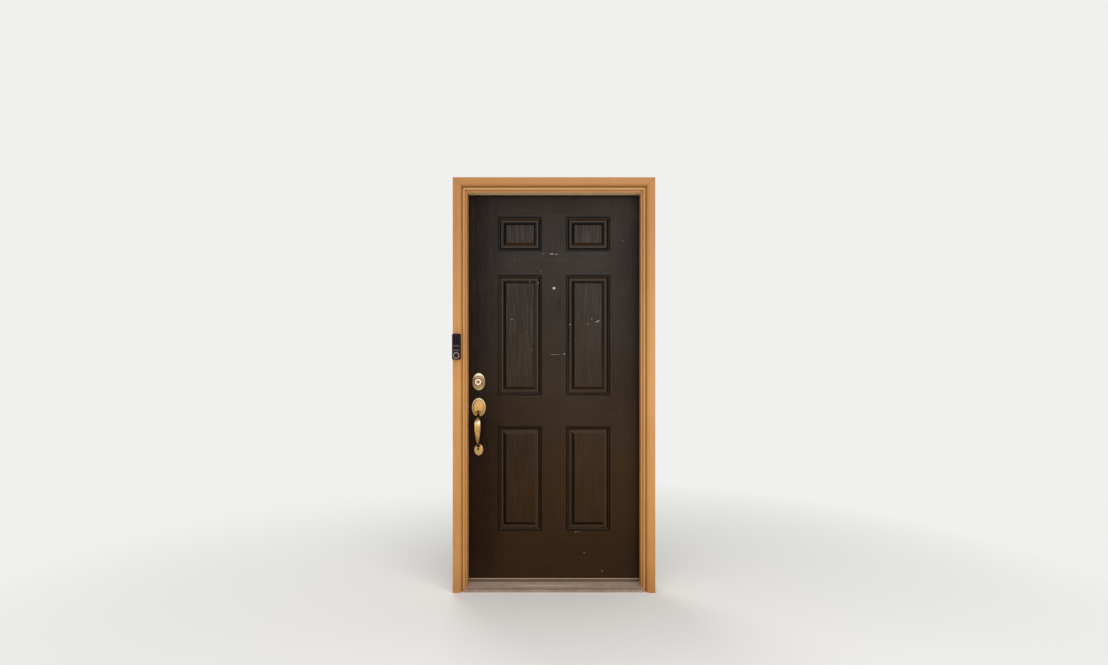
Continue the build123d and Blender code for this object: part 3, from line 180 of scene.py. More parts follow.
def bands(tree, value, stops):
    # a run of (position, share) stops from 0 to 1 along the value, straight between them
    made = tree.nodes.new("ShaderNodeValToRGB")
    feed(tree, made.inputs["Fac"], value)
    points = made.color_ramp.elements
    while len(points) < len(stops):
        points.new(0.5)
    for point, (place, share) in zip(points, stops):
        point.position = place
        point.color = (share, share, share, 1.0)
    return made.outputs["Color"]


def blend(tree, amount, first, second):
    made = tree.nodes.new("ShaderNodeMix")
    feed(tree, made.inputs[0], amount)
    feed(tree, made.inputs[2], first)
    feed(tree, made.inputs[3], second)
    return made.outputs[0]


def tint(tree, amount, first, second):
    made = tree.nodes.new("ShaderNodeMix")
    made.data_type = "RGBA"
    feed(tree, made.inputs[0], amount)
    feed(tree, made.inputs[6], first)
    feed(tree, made.inputs[7], second)
    return made.outputs[2]


def relief(tree, height, depth, under=None, strength=1.0):
    made = tree.nodes.new("ShaderNodeBump")
    made.inputs["Strength"].default_value = strength
    made.inputs["Distance"].default_value = depth
    feed(tree, made.inputs["Height"], height)
    if under is not None:
        tree.links.new(under, made.inputs["Normal"])
    return made.outputs["Normal"]


def hollows(tree, reach):
    # 1 in the open and less in corners and grooves, where dirt and polish gather
    made = tree.nodes.new("ShaderNodeAmbientOcclusion")
    made.samples = 6
    made.only_local = True
    made.inputs["Distance"].default_value = reach
    return made.outputs["AO"]


def axes(tree, vector):
    made = tree.nodes.new("ShaderNodeSeparateXYZ")
    tree.links.new(vector, made.inputs["Vector"])
    return made.outputs["X"], made.outputs["Y"], made.outputs["Z"]


def facing(tree, where):
    # how far the surface faces along X, Y and Z
    return axes(tree, where.node.outputs["Normal"])


def slopes(tree, where):
    # 0 where the surface faces the street or the house squarely, 1 where it is turned away from both
    _, faceY, _ = facing(tree, where)
    return calc(tree, "SUBTRACT", 1.0, calc(tree, "ABSOLUTE", faceY))


def ovalDistance(tree, where, centreX, centreZ, halfWidth, halfHeight):
    # 1 on an upright oval round a centre, less inside it
    x, _, z = axes(tree, where)
    across = calc(tree, "DIVIDE", calc(tree, "SUBTRACT", x, centreX), halfWidth)
    up = calc(tree, "DIVIDE", calc(tree, "SUBTRACT", z, centreZ), halfHeight)
    return calc(tree, "SQRT", total(tree, product(tree, across, across), product(tree, up, up)))


def middleOf(name):
    low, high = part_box(name)
    return (low + high) / 2


def centredDistance(tree, where, name):
    # 1 on the outline of an upright oval piece and 0 at its middle
    low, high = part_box(name)
    middle = middleOf(name)
    return ovalDistance(tree, where, middle.x, middle.z, (high.x - low.x) / 2, (high.z - low.z) / 2)


def paintPiece(names, material):
    for name in names.split():
        slots = nodes[name].material_slots
        if len(slots) == 0:
            nodes[name].data.materials.append(material)
        for slot in slots:
            slot.material = material


def makeObject(name, mesh, material):
    data = bpy.data.meshes.new(name)
    mesh.to_mesh(data)
    mesh.free()
    data.materials.append(material)
    piece = bpy.data.objects.new(name, data)
    bpy.context.scene.collection.objects.link(piece)
    return piece


def extrudeBy(mesh, face, vector):
    drawn = bmesh.ops.extrude_face_region(mesh, geom=[face])
    moved = [part for part in drawn["geom"] if isinstance(part, bmesh.types.BMVert)]
    bmesh.ops.translate(mesh, verts=moved, vec=vector)
    return moved


# Casing and jambs: tan exterior paint over wood, brushed along each length

casingPaint = dict(
    base=tone(191, 135, 69), warm=tone(183, 124, 57), pale=tone(201, 149, 84), upper=tone(161, 106, 45),
    nose=tone(232, 184, 116), litUnderside=tone(240, 206, 154), grimeAndShade=tone(116, 74, 30), joint=tone(92, 56, 26),
    strokeScale=240.0, strokeStretch=0.02, blotchScale=3.2, speckleScale=60.0, brushDepth=0.00025,
    # runs up the door: from and to, and the shares there
    highUp=(1.1, 1.9, 0.0, 0.85), lowDown=(0.2, 1.0, 0.3, 0.0), foot=(0.0, 0.16, 0.4, 0.0),
    shadeReach=0.012, shadeRun=(0.35, 0.8, 0.42, 0.0),
    mitreWidth=0.0009, mitreShare=0.8, lapWidth=0.0034, lapShare=0.8,
    noseWidth=0.006, noseFront=-0.003, noseShare=0.8,
    undersideFrom=1.9, undersideShare=0.85, facingDown=-0.9, speckleRelief=0.6, mitreRelief=-2.5,
    hair=0.0005,  # how far a face may lie from where it is looked for
)


def makeCasingPaint(name, stretch, look=casingPaint):
    material, tree, shader, where = startMaterial(name, Roughness=0.5)
    x, y, z = axes(tree, where)
    hair = look["hair"]
    strokes = noise(tree, mapped(tree, where, stretch), look["strokeScale"], 2.0)
    blotches = noise(tree, where, look["blotchScale"], 3.0, 0.6)
    speckle = noise(tree, where, look["speckleScale"], 2.0)
    colour = tint(tree, span(tree, blotches, 0.35, 0.65), look["base"], look["warm"])
    colour = tint(tree, span(tree, strokes, 0.45, 0.75, 0.0, 0.45), colour, look["pale"])
    # painted shade: darker towards the top and towards the foot
    endShade = total(tree, span(tree, z, *look["highUp"]), span(tree, z, *look["lowDown"]))
    colour = tint(tree, endShade, colour, look["upper"])
    # painted shade in the quirk and the corners, and dirt near the ground
    corner = span(tree, hollows(tree, look["shadeReach"]), *look["shadeRun"])
    low = span(tree, z, *look["foot"])
    dirtAndShade = product(tree, total(tree, corner, low), span(tree, speckle, 0.3, 0.7, 0.6, 1.0))
    colour = tint(tree, dirtAndShade, colour, look["grimeAndShade"])
    # the fine open line along the mitres
    side = calc(tree, "ABSOLUTE", x)
    across = calc(tree, "SUBTRACT", side, mitreX)
    upward = calc(tree, "SUBTRACT", z, mitreZ)
    near = span(tree, apart(tree, across, upward), 0.0, look["mitreWidth"], 1.0, 0.0)
    line = product(tree, near, calc(tree, "GREATER_THAN", upward, hair),
                   calc(tree, "LESS_THAN", y, -2 * hair))
    colour = tint(tree, product(tree, line, look["mitreShare"]), colour, look["joint"])
    # the shaded joint where the casing laps the jambs' front edges
    besideLeg = calc(tree, "GREATER_THAN", side, mitreX - look["lapWidth"])
    underHead = calc(tree, "GREATER_THAN", z, mitreZ - look["lapWidth"])
    lap = product(tree, within(tree, y, -hair, hair), calc(tree, "MAXIMUM", besideLeg, underHead))
    colour = tint(tree, product(tree, lap, look["lapShare"]), colour, look["grimeAndShade"])
    # a painted highlight, pale along the casing's inner edge
    inner = span(tree, calc(tree, "MAXIMUM", across, upward), 0.0, look["noseWidth"], 1.0, 0.0)
    paintedHighlight = product(tree, calc(tree, "LESS_THAN", y, look["noseFront"]), inner, look["noseShare"])
    colour = tint(tree, paintedHighlight, colour, look["nose"])
    # painted light: paler underneath the head
    _, _, faceZ = facing(tree, where)
    under = product(tree, calc(tree, "LESS_THAN", faceZ, look["facingDown"]),
                    within(tree, z, look["undersideFrom"], mitreZ + 2 * hair), look["undersideShare"])
    colour = tint(tree, under, colour, look["litUnderside"])
    height = total(tree, strokes, product(tree, speckle, look["speckleRelief"]),
                   product(tree, line, look["mitreRelief"]))
    dress(tree, shader, colour, span(tree, strokes, 0.3, 0.8, 0.42, 0.62),
          relief(tree, height, look["brushDepth"]))
    return material


def finishCasing():
    along = casingPaint["strokeStretch"]
    paintPiece("casing_left casing_right jamb_left jamb_left_strike_lengths jamb_right",
               makeCasingPaint("casingPaintUpright", (1, 1, along)))
    paintPiece("casing_head head_jamb", makeCasingPaint("casingPaintLevel", (along, 1, 1)))


finishCasing()
print("casing painted")


# Leaf: near-black brown paint on a moulded wood grain, upright on stiles and panels and level on rails

leafPaint = dict(
    base=tone(48, 42, 38), warm=tone(54, 36, 17), deep=tone(15, 8, 5), warmDeep=tone(30, 14, 2),
    dusty=tone(72, 63, 56), warmDust=tone(72, 56, 40), groove=tone(2, 1, 0), litGroove=tone(44, 28, 10),
    edge=tone(24, 11, 3), scuff=tone(60, 46, 34),
    smudge=(0.024, 1.473, 0.020, 0.042),  # x and z of its centre, half its width and half its height
    panelEdge=0.2937, mullionEdge=0.0635,
    rows=((0.290, 0.835), (0.998, 1.626), (1.751, 1.931)),
    # painted reflection, from brown low down to cooler high up: from and to
    baseUp=(0.5, 1.7), reflectionUp=(0.5, 1.4),
    # where painted shade darkens the leaf, up it or across it: from and to, and the shares there
    lockEdge=(-0.40, -0.24, 0.6, 0.0), lockWash=(-0.40, 0.1, 0.28, 0.0), lowAcross=(-0.38, 0.22, 0.3, 0.0),
    lowUp=(0.75, 1.1, 1.0, 0.0), hingeEdge=(0.24, 0.42, 0.0, 0.6), hingeUp=(0.8, 1.4, 0.1, 1.0),
    topEnd=(1.75, 2.0, 0.0, 0.4), bottomEnd=(0.1, 0.5, 0.45, 0.0), rim=(0.012, 0.026, 0.75, 0.0),
    # painted shade and light on the moulding, from a panel's outer edge (0) to 50 mm inside it (1)
    mouldingWidth=0.05, fieldFrom=0.85,
    mouldingDark=((0.0, 0.95), (0.10, 0.95), (0.13, 0.3), (0.17, 0.3), (0.20, 0.9), (0.34, 0.9),
                  (0.39, 0.0), (0.54, 0.0), (0.60, 0.9), (0.82, 0.98), (0.88, 0.3), (0.91, 0.0)),
    mouldingOgee=((0.0, 0.3), (0.34, 0.3), (0.38, 0.0)),
    mouldingLine=((0.0, 0.95), (0.08, 0.95), (0.14, 0.0)),
    mouldingLit=((0.40, 0.0), (0.48, 0.4), (0.82, 0.4), (0.90, 0.0)),
    mouldingLitBands=((0.13, 0.0), (0.16, 0.3), (0.20, 0.0), (0.36, 0.0), (0.42, 0.42), (0.50, 0.42),
                  (0.57, 0.0)),
    # how much painted light and reflection change the slopes that face down, up and towards the hinges, by
    # height
    steepness=(0.03, 0.12), faceDown=(0.5, 1.3, 0.25, 1.0), faceUp=(0.9, 1.75, 0.85, 0.0),
    lockSide=(1.5, 1.75, 0.6, 0.0), hingeSide=(0.8, 1.3, 0.85, 0.15), eitherSide=(1.6, 1.75, 0.85, 0.0),
    litUp=(0.8, 1.1, 1.0, 0.2), brownUp=(0.85, 1.0, 0.0, 0.8), darkUp=(0.8, 1.5, 0.9, 1.0),
    poreScale=420.0, poreStretch=0.025, figureScale=7.0, figureStretch=0.11, figureLines=26.0,
    streakScale=130.0, streakStretch=0.05, streakUp=(0.9, 1.75, 0.25, 1.0),
    poreDepth=0.0005, figureDepth=0.0004, fineScale=900.0, fineDepth=0.00005, edgeDepth=0.0004,
    cloudScale=2.4, smudgeScale=80.0, grooveReach=0.02, foot=(0.044, 0.20, 0.35, 0.0), footScale=9.0,
)


def panelInset(tree, x, z, look):
    # how far a place lies inside the outer edge of its panel, below 0 outside every panel
    side = calc(tree, "ABSOLUTE", x)
    across = calc(tree, "MINIMUM", calc(tree, "SUBTRACT", side, look["mullionEdge"]),
                  calc(tree, "SUBTRACT", look["panelEdge"], side))
    rows = [calc(tree, "MINIMUM", calc(tree, "SUBTRACT", z, low), calc(tree, "SUBTRACT", high, z))
            for low, high in look["rows"]]
    nearest = calc(tree, "MAXIMUM", calc(tree, "MAXIMUM", rows[0], rows[1]), rows[2])
    return calc(tree, "MINIMUM", across, nearest)


def woodFigure(tree, where, look):
    pores = noise(tree, mapped(tree, where, (1, 1, look["poreStretch"])), look["poreScale"], 2.0, 0.6)
    # contour lines of a slow noise give the arched figure of sawn oak
    drawn = mapped(tree, where, (1, 1, look["figureStretch"]))
    hills = noise(tree, drawn, look["figureScale"], 1.0, 0.4, 0.3)
    figure = calc(tree, "PINGPONG", product(tree, hills, look["figureLines"]), 1.0)
    pulled = mapped(tree, where, (1, 1, look["streakStretch"]))
    return pores, figure, noise(tree, pulled, look["streakScale"], 2.0, 0.5, 0.4)


def grainOfLeaf(tree, where, x, z, look):
    inRows = [within(tree, z, low, high) for low, high in look["rows"]]
    clearOfRows = calc(tree, "SUBTRACT", 1.0, total(tree, *inRows))
    railSpan = calc(tree, "LESS_THAN", calc(tree, "ABSOLUTE", x), look["panelEdge"])
    onRail = product(tree, clearOfRows, railSpan)
    upright = woodFigure(tree, where, look)
    level = woodFigure(tree, mapped(tree, where, turn=(0, math.radians(90), 0)), look)
    return [blend(tree, onRail, first, second) for first, second in zip(upright, level)]


def paintedEdgeShade(tree, x, z, look):
    # painted shade: the leaf is darker towards its edges, most of all beside the lock
    lowDown = product(tree, span(tree, x, *look["lowAcross"]), span(tree, z, *look["lowUp"]))
    besideLock = total(tree, span(tree, x, *look["lockEdge"]), span(tree, x, *look["lockWash"]), lowDown)
    besideHinges = product(tree, span(tree, x, *look["hingeEdge"]), span(tree, z, *look["hingeUp"]))
    atEnds = total(tree, span(tree, z, *look["topEnd"]), span(tree, z, *look["bottomEnd"]))
    return calc(tree, "MAXIMUM", total(tree, besideLock, besideHinges), atEnds)


def slopeShares(tree, where, x, z, look):
    # painted reflection and light: high up the slopes that face down are browner, and low down those that
    # face up are lighter
    faceX, _, faceZ = facing(tree, where)
    slight, steep = look["steepness"]
    down = product(tree, span(tree, faceZ, -steep, -slight, 1.0, 0.0), span(tree, z, *look["faceDown"]))
    up = product(tree, span(tree, faceZ, slight, steep), span(tree, z, *look["faceUp"]))
    # painted light: those that face the hinges are lighter too, least of all high up on the hinge side
    onLockSide = product(tree, calc(tree, "LESS_THAN", x, 0.0), span(tree, z, *look["lockSide"]))
    share = calc(tree, "MAXIMUM", onLockSide, span(tree, z, *look["hingeSide"]))
    share = calc(tree, "MINIMUM", share, span(tree, z, *look["eitherSide"]))
    across = product(tree, span(tree, faceX, slight, steep), share)
    brown = calc(tree, "MAXIMUM", down, product(tree, across, span(tree, z, *look["brownUp"])))
    return calc(tree, "MAXIMUM", up, across), brown


def makeLeafPaint(name, look=leafPaint):
    material, tree, shader, where = startMaterial(name, Roughness=0.36, Specular_IOR_Level=0.06)
    x, y, z = axes(tree, where)
    pores, figure, streaks = grainOfLeaf(tree, where, x, z, look)
    inset = panelInset(tree, x, z, look)
    onField = calc(tree, "GREATER_THAN", inset, look["mouldingWidth"] * look["fieldFrom"])
    clouds = noise(tree, where, look["cloudScale"], 3.0, 0.6)
    # painted reflection: browner low down and cooler high up
    colour = tint(tree, span(tree, z, *look["baseUp"]), look["warm"], look["base"])
    deep = tint(tree, span(tree, z, *look["reflectionUp"]), look["warmDeep"], look["deep"])
    # painted shade towards the leaf's edges
    colour = tint(tree, paintedEdgeShade(tree, x, z, look), colour, deep)
    colour = tint(tree, span(tree, clouds, 0.35, 0.7, 0.0, 0.3), colour, deep)
    # the grain and the streaks show most on the raised fields, and the streaks on the upper ones
    pale = tint(tree, span(tree, z, *look["reflectionUp"]), look["warmDust"], look["dusty"])
    colour = tint(tree, span(tree, pores, 0.5, 0.78, 0.0, 0.3), colour, pale)
    figureShare = product(tree, span(tree, figure, 0.6, 1.0), span(tree, onField, 0.0, 1.0, 0.03, 0.10))
    colour = tint(tree, figureShare, colour, pale)
    streakShare = product(tree, span(tree, streaks, 0.5, 0.64), span(tree, z, *look["streakUp"]),
                          span(tree, onField, 0.0, 1.0, 0.1, 0.5))
    colour = tint(tree, streakShare, colour, pale)
    # a dark smudge below the viewer, on the street side alone
    smear = product(tree, span(tree, ovalDistance(tree, where, *look["smudge"]), 0.5, 1.0, 0.8, 0.0),
                    span(tree, noise(tree, where, look["smudgeScale"], 3.0), 0.45, 0.65),
                    calc(tree, "LESS_THAN", y, leafMiddle))
    colour = tint(tree, smear, colour, look["groove"])
    # painted shade on the slopes and in the grooves of the mouldings, and painted light in pale bands on
    # them
    hollow = span(tree, hollows(tree, look["grooveReach"]), 0.4, 0.95, 0.55, 0.0)
    inward = calc(tree, "DIVIDE", inset, look["mouldingWidth"])
    inPanel = calc(tree, "GREATER_THAN", inset, 0.0)
    dark, ogee, line = [product(tree, bands(tree, inward, look[run]), inPanel)
                        for run in ("mouldingDark", "mouldingOgee", "mouldingLine")]
    colour = tint(tree, bands(tree, inward, look["mouldingLitBands"]), colour, pale)
    lit, brown = slopeShares(tree, where, x, z, look)
    litShare = product(tree, lit, bands(tree, inward, look["mouldingLit"]), span(tree, z, *look["litUp"]))
    colour = tint(tree, litShare, colour, pale)
    grooveTone = tint(tree, brown, look["groove"], look["litGroove"])
    dark = product(tree, dark, calc(tree, "SUBTRACT", span(tree, z, *look["darkUp"]), lit))
    dark = calc(tree, "MAXIMUM", dark, ogee)
    colour = tint(tree, calc(tree, "MAXIMUM", hollow, dark), colour, grooveTone)
    colour = tint(tree, line, colour, look["groove"])
    # a dark line of shade all round the leaf's edge
    fromSide = calc(tree, "SUBTRACT", leafHigh.x, calc(tree, "ABSOLUTE", x))
    rim = calc(tree, "MINIMUM", fromSide, calc(tree, "SUBTRACT", leafHigh.z, z))
    colour = tint(tree, span(tree, rim, *look["rim"]), colour, look["edge"])
    foot = product(tree, span(tree, z, *look["foot"]), noise(tree, where, look["footScale"], 4.0))
    colour = tint(tree, foot, colour, look["scuff"])
    dulled = total(tree, span(tree, clouds, 0.3, 0.7, 0.30, 0.40),
                   span(tree, pores, 0.3, 0.8, -0.03, 0.08))
    grain = relief(tree, figure, look["figureDepth"], strength=0.08)
    grain = relief(tree, pores, look["poreDepth"], grain, strength=0.6)
    fine = noise(tree, where, look["fineScale"], 1.0)
    grain = relief(tree, fine, look["fineDepth"], grain, strength=0.4)
    dress(tree, shader, colour, dulled, grain)
    return material


def makeEdgePaint(name, look=leafPaint):
    # the leaf's sawn edges, painted with the leaf
    material, tree, shader, where = startMaterial(name, Roughness=0.5)
    pores, figure, _ = woodFigure(tree, where, look)
    colour = tint(tree, span(tree, pores, 0.4, 0.75), look["deep"], look["dusty"])
    dress(tree, shader, colour, span(tree, figure, 0.0, 1.0, 0.45, 0.6),
          relief(tree, pores, look["edgeDepth"]))
    return material


foamLook = dict(deep=tone(206, 190, 140), face=tone(232, 222, 184), bubbleScale=900.0, depth=0.0006)


def makeFoam(name, look=foamLook):
    material, tree, shader, where = startMaterial(name, Roughness=0.95)
    bubbles = cells(tree, where, look["bubbleScale"])
    colour = tint(tree, bubbles, look["deep"], look["face"])
    dress(tree, shader, colour, normal=relief(tree, bubbles, look["depth"]))
    return material


def finishLeaf():
    paintPiece("skin_outside skin_inside", makeLeafPaint("leafPaint"))
    paintPiece("stile_latch stile_hinge rail_top rail_bottom lock_block", makeEdgePaint("edgePaint"))
    paintPiece("foam_core", makeFoam("foamCore"))


finishLeaf()
print("leaf painted")


# Paint chips on the leaf: small flakes that have lost the dark coat

chipLook = dict(proud=0.00012, sunk=0.0004, sides=9, roundness=(0.72, 1.12), seed=7, castFrom=0.05,
                face=tone(196, 186, 174), worn=tone(136, 124, 110), patchScale=700.0, depth=0.0001)
# x and z of each chip, its width and height, and its tilt in degrees
paintChips = [
    (-0.012, 1.7365, 0.026, 0.0046, -4), (0.012, 1.7345, 0.020, 0.0022, -8),
    (-0.054, 1.7370, 0.0045, 0.0035, 20), (-0.0665, 1.6440, 0.0034, 0.0030, 0),
    (-0.127, 1.5900, 0.0060, 0.0026, 15), (-0.0806, 1.5870, 0.0040, 0.0030, 40),
    (-0.220, 1.3946, 0.0050, 0.0044, 0), (0.0836, 1.3675, 0.0050, 0.0062, 10),
    (0.198, 1.3970, 0.0050, 0.0036, 30), (0.178, 1.3700, 0.0042, 0.0034, 0),
    (0.228, 1.3837, 0.0200, 0.0036, 24), (-0.117, 1.2340, 0.0036, 0.0030, 0),
    (0.0544, 1.2126, 0.0058, 0.0066, 0), (0.008, 1.2098, 0.060, 0.0010, -1),
    (0.3617, 1.8040, 0.0040, 0.0036, 0), (0.113, 1.2900, 0.0024, 0.0024, 0),
    (-0.142, 1.3300, 0.0022, 0.0026, 0), (0.113, 0.2840, 0.0070, 0.0022, 12),
    (0.126, 0.2850, 0.0060, 0.0020, 5), (0.1577, 0.1750, 0.0036, 0.0036, 0),
    (0.2508, 0.0800, 0.0044, 0.0044, 0), (-0.205, 1.7050, 0.0024, 0.0026, 0),
]


def makeChipPaint(name, look=chipLook):
    material, tree, shader, where = startMaterial(name, Roughness=0.75)
    patches = noise(tree, where, look["patchScale"], 2.0)
    colour = tint(tree, span(tree, patches, 0.4, 0.7), look["face"], look["worn"])
    dress(tree, shader, colour, normal=relief(tree, patches, look["depth"]))
    return material


def buildPaintChips(look=chipLook):
    draw = random.Random(look["seed"])
    surface = bmesh.new()
    surface.from_mesh(nodes["skin_outside"].data)
    skin = BVHTree.FromBMesh(surface)
    chips = bmesh.new()
    for x, z, width, height, tilt in paintChips:
        hit, normal, _, _ = skin.ray_cast(Vector((x, leafFace - look["castFrom"], z)), Vector((0, 1, 0)))
        flake = bmesh.ops.create_circle(chips, cap_ends=True, segments=look["sides"], radius=0.5)
        rim = flake["verts"]
        for vert in rim:
            vert.co *= draw.uniform(*look["roundness"])
        bmesh.ops.scale(chips, verts=rim, vec=(width, height, 1))
        bmesh.ops.rotate(chips, verts=rim, matrix=Matrix.Rotation(math.radians(tilt), 3, "Z"))
        upright = normal.to_track_quat("Z", "Y").to_matrix()
        bmesh.ops.transform(chips, verts=rim, matrix=upright.to_4x4())
        bmesh.ops.translate(chips, verts=rim, vec=hit + normal * look["proud"])
        extrudeBy(chips, rim[0].link_faces[0], normal * -(look["proud"] + look["sunk"]))
    surface.free()
    bmesh.ops.recalc_face_normals(chips, faces=chips.faces)
    piece = makeObject("paint_chips", chips, makeChipPaint("chipPaint"))
    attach(piece, "leaf")


buildPaintChips()
print("paint chips placed")


# Sill, cap, weatherstrips and sweep

sillLook = dict(
    dull=tone(180, 156, 140), pale=tone(206, 184, 168), dust=tone(150, 122, 98), spot=tone(86, 66, 48),
    grimeAndShade=tone(64, 46, 32), grit=tone(128, 100, 74), front=tone(120, 98, 84), paintedHighlight=tone(236, 214, 198),
    # where each lies: the deck's dark front and its painted highlight streak, the riser and the front lip
    frontRun=(-0.022, -0.004, 0.55, 0.0), highlightX=-0.04, highlightAlong=(0.08, 0.24, 0.85, 0.0),
    highlightY=0.020, highlightAcross=(0.003, 0.018, 1.0, 0.0), riser=(0.0228, 0.0245, 0.0, 0.85),
    lip=(0.0146, 0.0164), lipShare=0.45,
    streakScale=260.0, streakStretch=0.03, dustScale=14.0, spotScale=160.0, gritScale=95.0, depth=0.00015,
)
sillCoreLook = dict(dark=tone(150, 122, 88), pale=tone(178, 150, 112), fibreScale=380.0, depth=0.0003)
capLook = dict(body=tone(74, 54, 38), worn=tone(96, 74, 54), lip=tone(180, 148, 112),
               lipHighlightRun=(0.0368, 0.0385), scuffScale=160.0, scuffStretch=0.06, wearScale=6.0, depth=0.0001)
sealLook = dict(dark=tone(44, 36, 30), pale=tone(64, 55, 47), pitScale=500.0, depth=0.0002)


def makeSillMetal(name, look=sillLook):
    material, tree, shader, where = startMaterial(name, Metallic=0.25, Roughness=0.5)
    x, y, z = axes(tree, where)
    streaks = noise(tree, mapped(tree, where, (look["streakStretch"], 1, 1)), look["streakScale"], 3.0, 0.65)
    dust = noise(tree, where, look["dustScale"], 5.0, 0.65)
    spots = noise(tree, where, look["spotScale"], 2.0)
    colour = tint(tree, span(tree, streaks, 0.3, 0.75), look["dull"], look["pale"])
    colour = tint(tree, span(tree, dust, 0.45, 0.75, 0.0, 0.5), colour, look["dust"])
    colour = tint(tree, span(tree, spots, 0.66, 0.74, 0.0, 0.4), colour, look["spot"])
    # darker along the deck's front, and a painted highlight streak across the deck
    front = product(tree, span(tree, y, *look["frontRun"]), span(tree, dust, 0.3, 0.6, 0.5, 1.0))
    colour = tint(tree, front, colour, look["front"])
    paintedHighlight = product(tree, span(tree, apart(tree, x, look["highlightX"]), *look["highlightAlong"]),
                     span(tree, apart(tree, y, look["highlightY"]), *look["highlightAcross"]),
                     span(tree, streaks, 0.35, 0.55))
    colour = tint(tree, paintedHighlight, colour, look["paintedHighlight"])
    # painted shadow and dirt on the riser under the cap's nose, and grit lies in the angle in front of it
    colour = tint(tree, span(tree, z, *look["riser"]), colour, look["grimeAndShade"])
    grit = span(tree, noise(tree, where, look["gritScale"], 3.0), 0.55, 0.66, 0.25, 0.8)
    low = calc(tree, "LESS_THAN", z, look["lip"][0])
    colour = tint(tree, product(tree, low, grit), colour, look["grit"])
    line = product(tree, within(tree, z, *look["lip"]), look["lipShare"])
    colour = tint(tree, line, colour, look["grimeAndShade"])
    dress(tree, shader, colour, span(tree, dust, 0.35, 0.75, 0.34, 0.7),
          relief(tree, streaks, look["depth"]))
    return material


def makeSillCore(name, look=sillCoreLook):
    material, tree, shader, where = startMaterial(name, Roughness=0.8)
    fibres = noise(tree, mapped(tree, where, (0.04, 1, 1)), look["fibreScale"], 3.0)
    colour = tint(tree, span(tree, fibres, 0.3, 0.7), look["dark"], look["pale"])
    dress(tree, shader, colour, normal=relief(tree, fibres, look["depth"]))
    return material


def makeCapPlastic(name, look=capLook):
    material, tree, shader, where = startMaterial(name, Roughness=0.38)
    scuffs = noise(tree, mapped(tree, where, (look["scuffStretch"], 1, 1)), look["scuffScale"], 4.0, 0.6)
    wear = noise(tree, where, look["wearScale"], 4.0)
    colour = tint(tree, span(tree, wear, 0.35, 0.7), look["body"], look["worn"])
    _, _, z = axes(tree, where)
    # a painted highlight along the top edge of the cap's nose
    colour = tint(tree, span(tree, z, *look["lipHighlightRun"]), colour, look["lip"])
    colour = tint(tree, span(tree, scuffs, 0.55, 0.8, 0.0, 0.3), colour, look["lip"])
    dress(tree, shader, colour, span(tree, scuffs, 0.3, 0.8, 0.3, 0.55),
          relief(tree, scuffs, look["depth"]))
    return material


def makeSeal(name, look=sealLook):
    material, tree, shader, where = startMaterial(name, Roughness=0.7)
    pits = noise(tree, where, look["pitScale"], 3.0)
    colour = tint(tree, span(tree, pits, 0.3, 0.7), look["dark"], look["pale"])
    dress(tree, shader, colour, normal=relief(tree, pits, look["depth"]))
    return material


def finishSill():
    paintPiece("sill_deck", makeSillMetal("sillMetal"))
    paintPiece("sill_core", makeSillCore("sillCore"))
    paintPiece("threshold_cap", makeCapPlastic("capPlastic"))
    paintPiece("weatherstrip_left weatherstrip_right weatherstrip_head door_sweep", makeSeal("seal"))


finishSill()
print("sill and seals finished")


# Lock furniture: satin brass that has dulled and is darker in its hollows, with painted highlights,
# reflections and shade on its parts

brassLook = dict(base=tone(202, 160, 102), dull=tone(178, 134, 78), dark=tone(60, 36, 16))
ringLook = dict(base=tone(176, 148, 98), dull=tone(146, 118, 70), dark=tone(50, 30, 14))
plugLook = dict(base=tone(150, 112, 92), dull=tone(124, 88, 70), dark=tone(46, 28, 18))
brassGrain = dict(cloudScale=26.0, freckleScale=420.0, brushScale=900.0, brushStretch=0.06, depth=0.00003)


def makeAgedBrass(name, look=brassLook, reach=0.006, edgeShade=0.0, grain=brassGrain):
    material, tree, shader, where = startMaterial(name, Metallic=1.0, Roughness=0.3)
    clouds = noise(tree, where, grain["cloudScale"], 4.0, 0.6)
    freckles = noise(tree, where, grain["freckleScale"], 3.0)
    brushing = noise(tree, mapped(tree, where, (1, 1, grain["brushStretch"])), grain["brushScale"], 2.0)
    colour = tint(tree, span(tree, clouds, 0.35, 0.65), look["base"], look["dull"])
    colour = tint(tree, span(tree, freckles, 0.6, 0.8, 0.0, 0.35), colour, look["dark"])
    colour = tint(tree, span(tree, hollows(tree, reach), 0.5, 0.9, 0.85, 0.0), colour, look["dark"])
    # painted shade on the surfaces turned sideways
    if edgeShade > 0:
        side = span(tree, slopes(tree, where), 0.15, 0.7, 0.0, edgeShade)
        colour = tint(tree, side, colour, look["dark"])
    dulled = total(tree, span(tree, clouds, 0.3, 0.7, 0.24, 0.36),
                   span(tree, freckles, 0.4, 0.8, 0.0, 0.12))
    height = total(tree, product(tree, brushing, 0.5), freckles)
    dress(tree, shader, colour, dulled, relief(tree, height, grain["depth"]))
    return material


# a painted shadow: a dark round spot on a piece
def addShadowSpot(material, x, z, radius, shadowSpotTone):
    tree, shader, where, colour = reopen(material)
    out = ovalDistance(tree, where, x, z, radius, radius)
    dress(tree, shader, tint(tree, span(tree, out, 0.7, 1.1, 1.0, 0.0), colour, shadowSpotTone))
    return material


# the deadbolt's rose: rings of painted shade and painted highlight from its middle (0) out to its reach (1),
# and a painted highlight along its rim's top
roseLook = dict(reach=0.0300, hollowReach=0.008, edgeShade=0.5,
                shade=((0.0, 0.8), (0.14, 0.8), (0.20, 0.35), (0.27, 0.35), (0.31, 0.0), (0.57, 0.0),
                       (0.60, 0.9), (0.70, 0.9), (0.74, 0.0), (0.84, 0.0), (0.88, 0.7), (0.98, 0.7),
                       (1.0, 0.0)),
                creamHighlight=((0.28, 0.0), (0.33, 0.85), (0.55, 0.85), (0.59, 0.0), (0.72, 0.0), (0.75, 0.35),
                       (0.83, 0.35), (0.87, 0.0)),
                creamHighlightTone=tone(236, 212, 186), rimHighlightTone=tone(244, 230, 208), rimLow=0.024, rimHigh=0.040,
                rimShare=0.7)


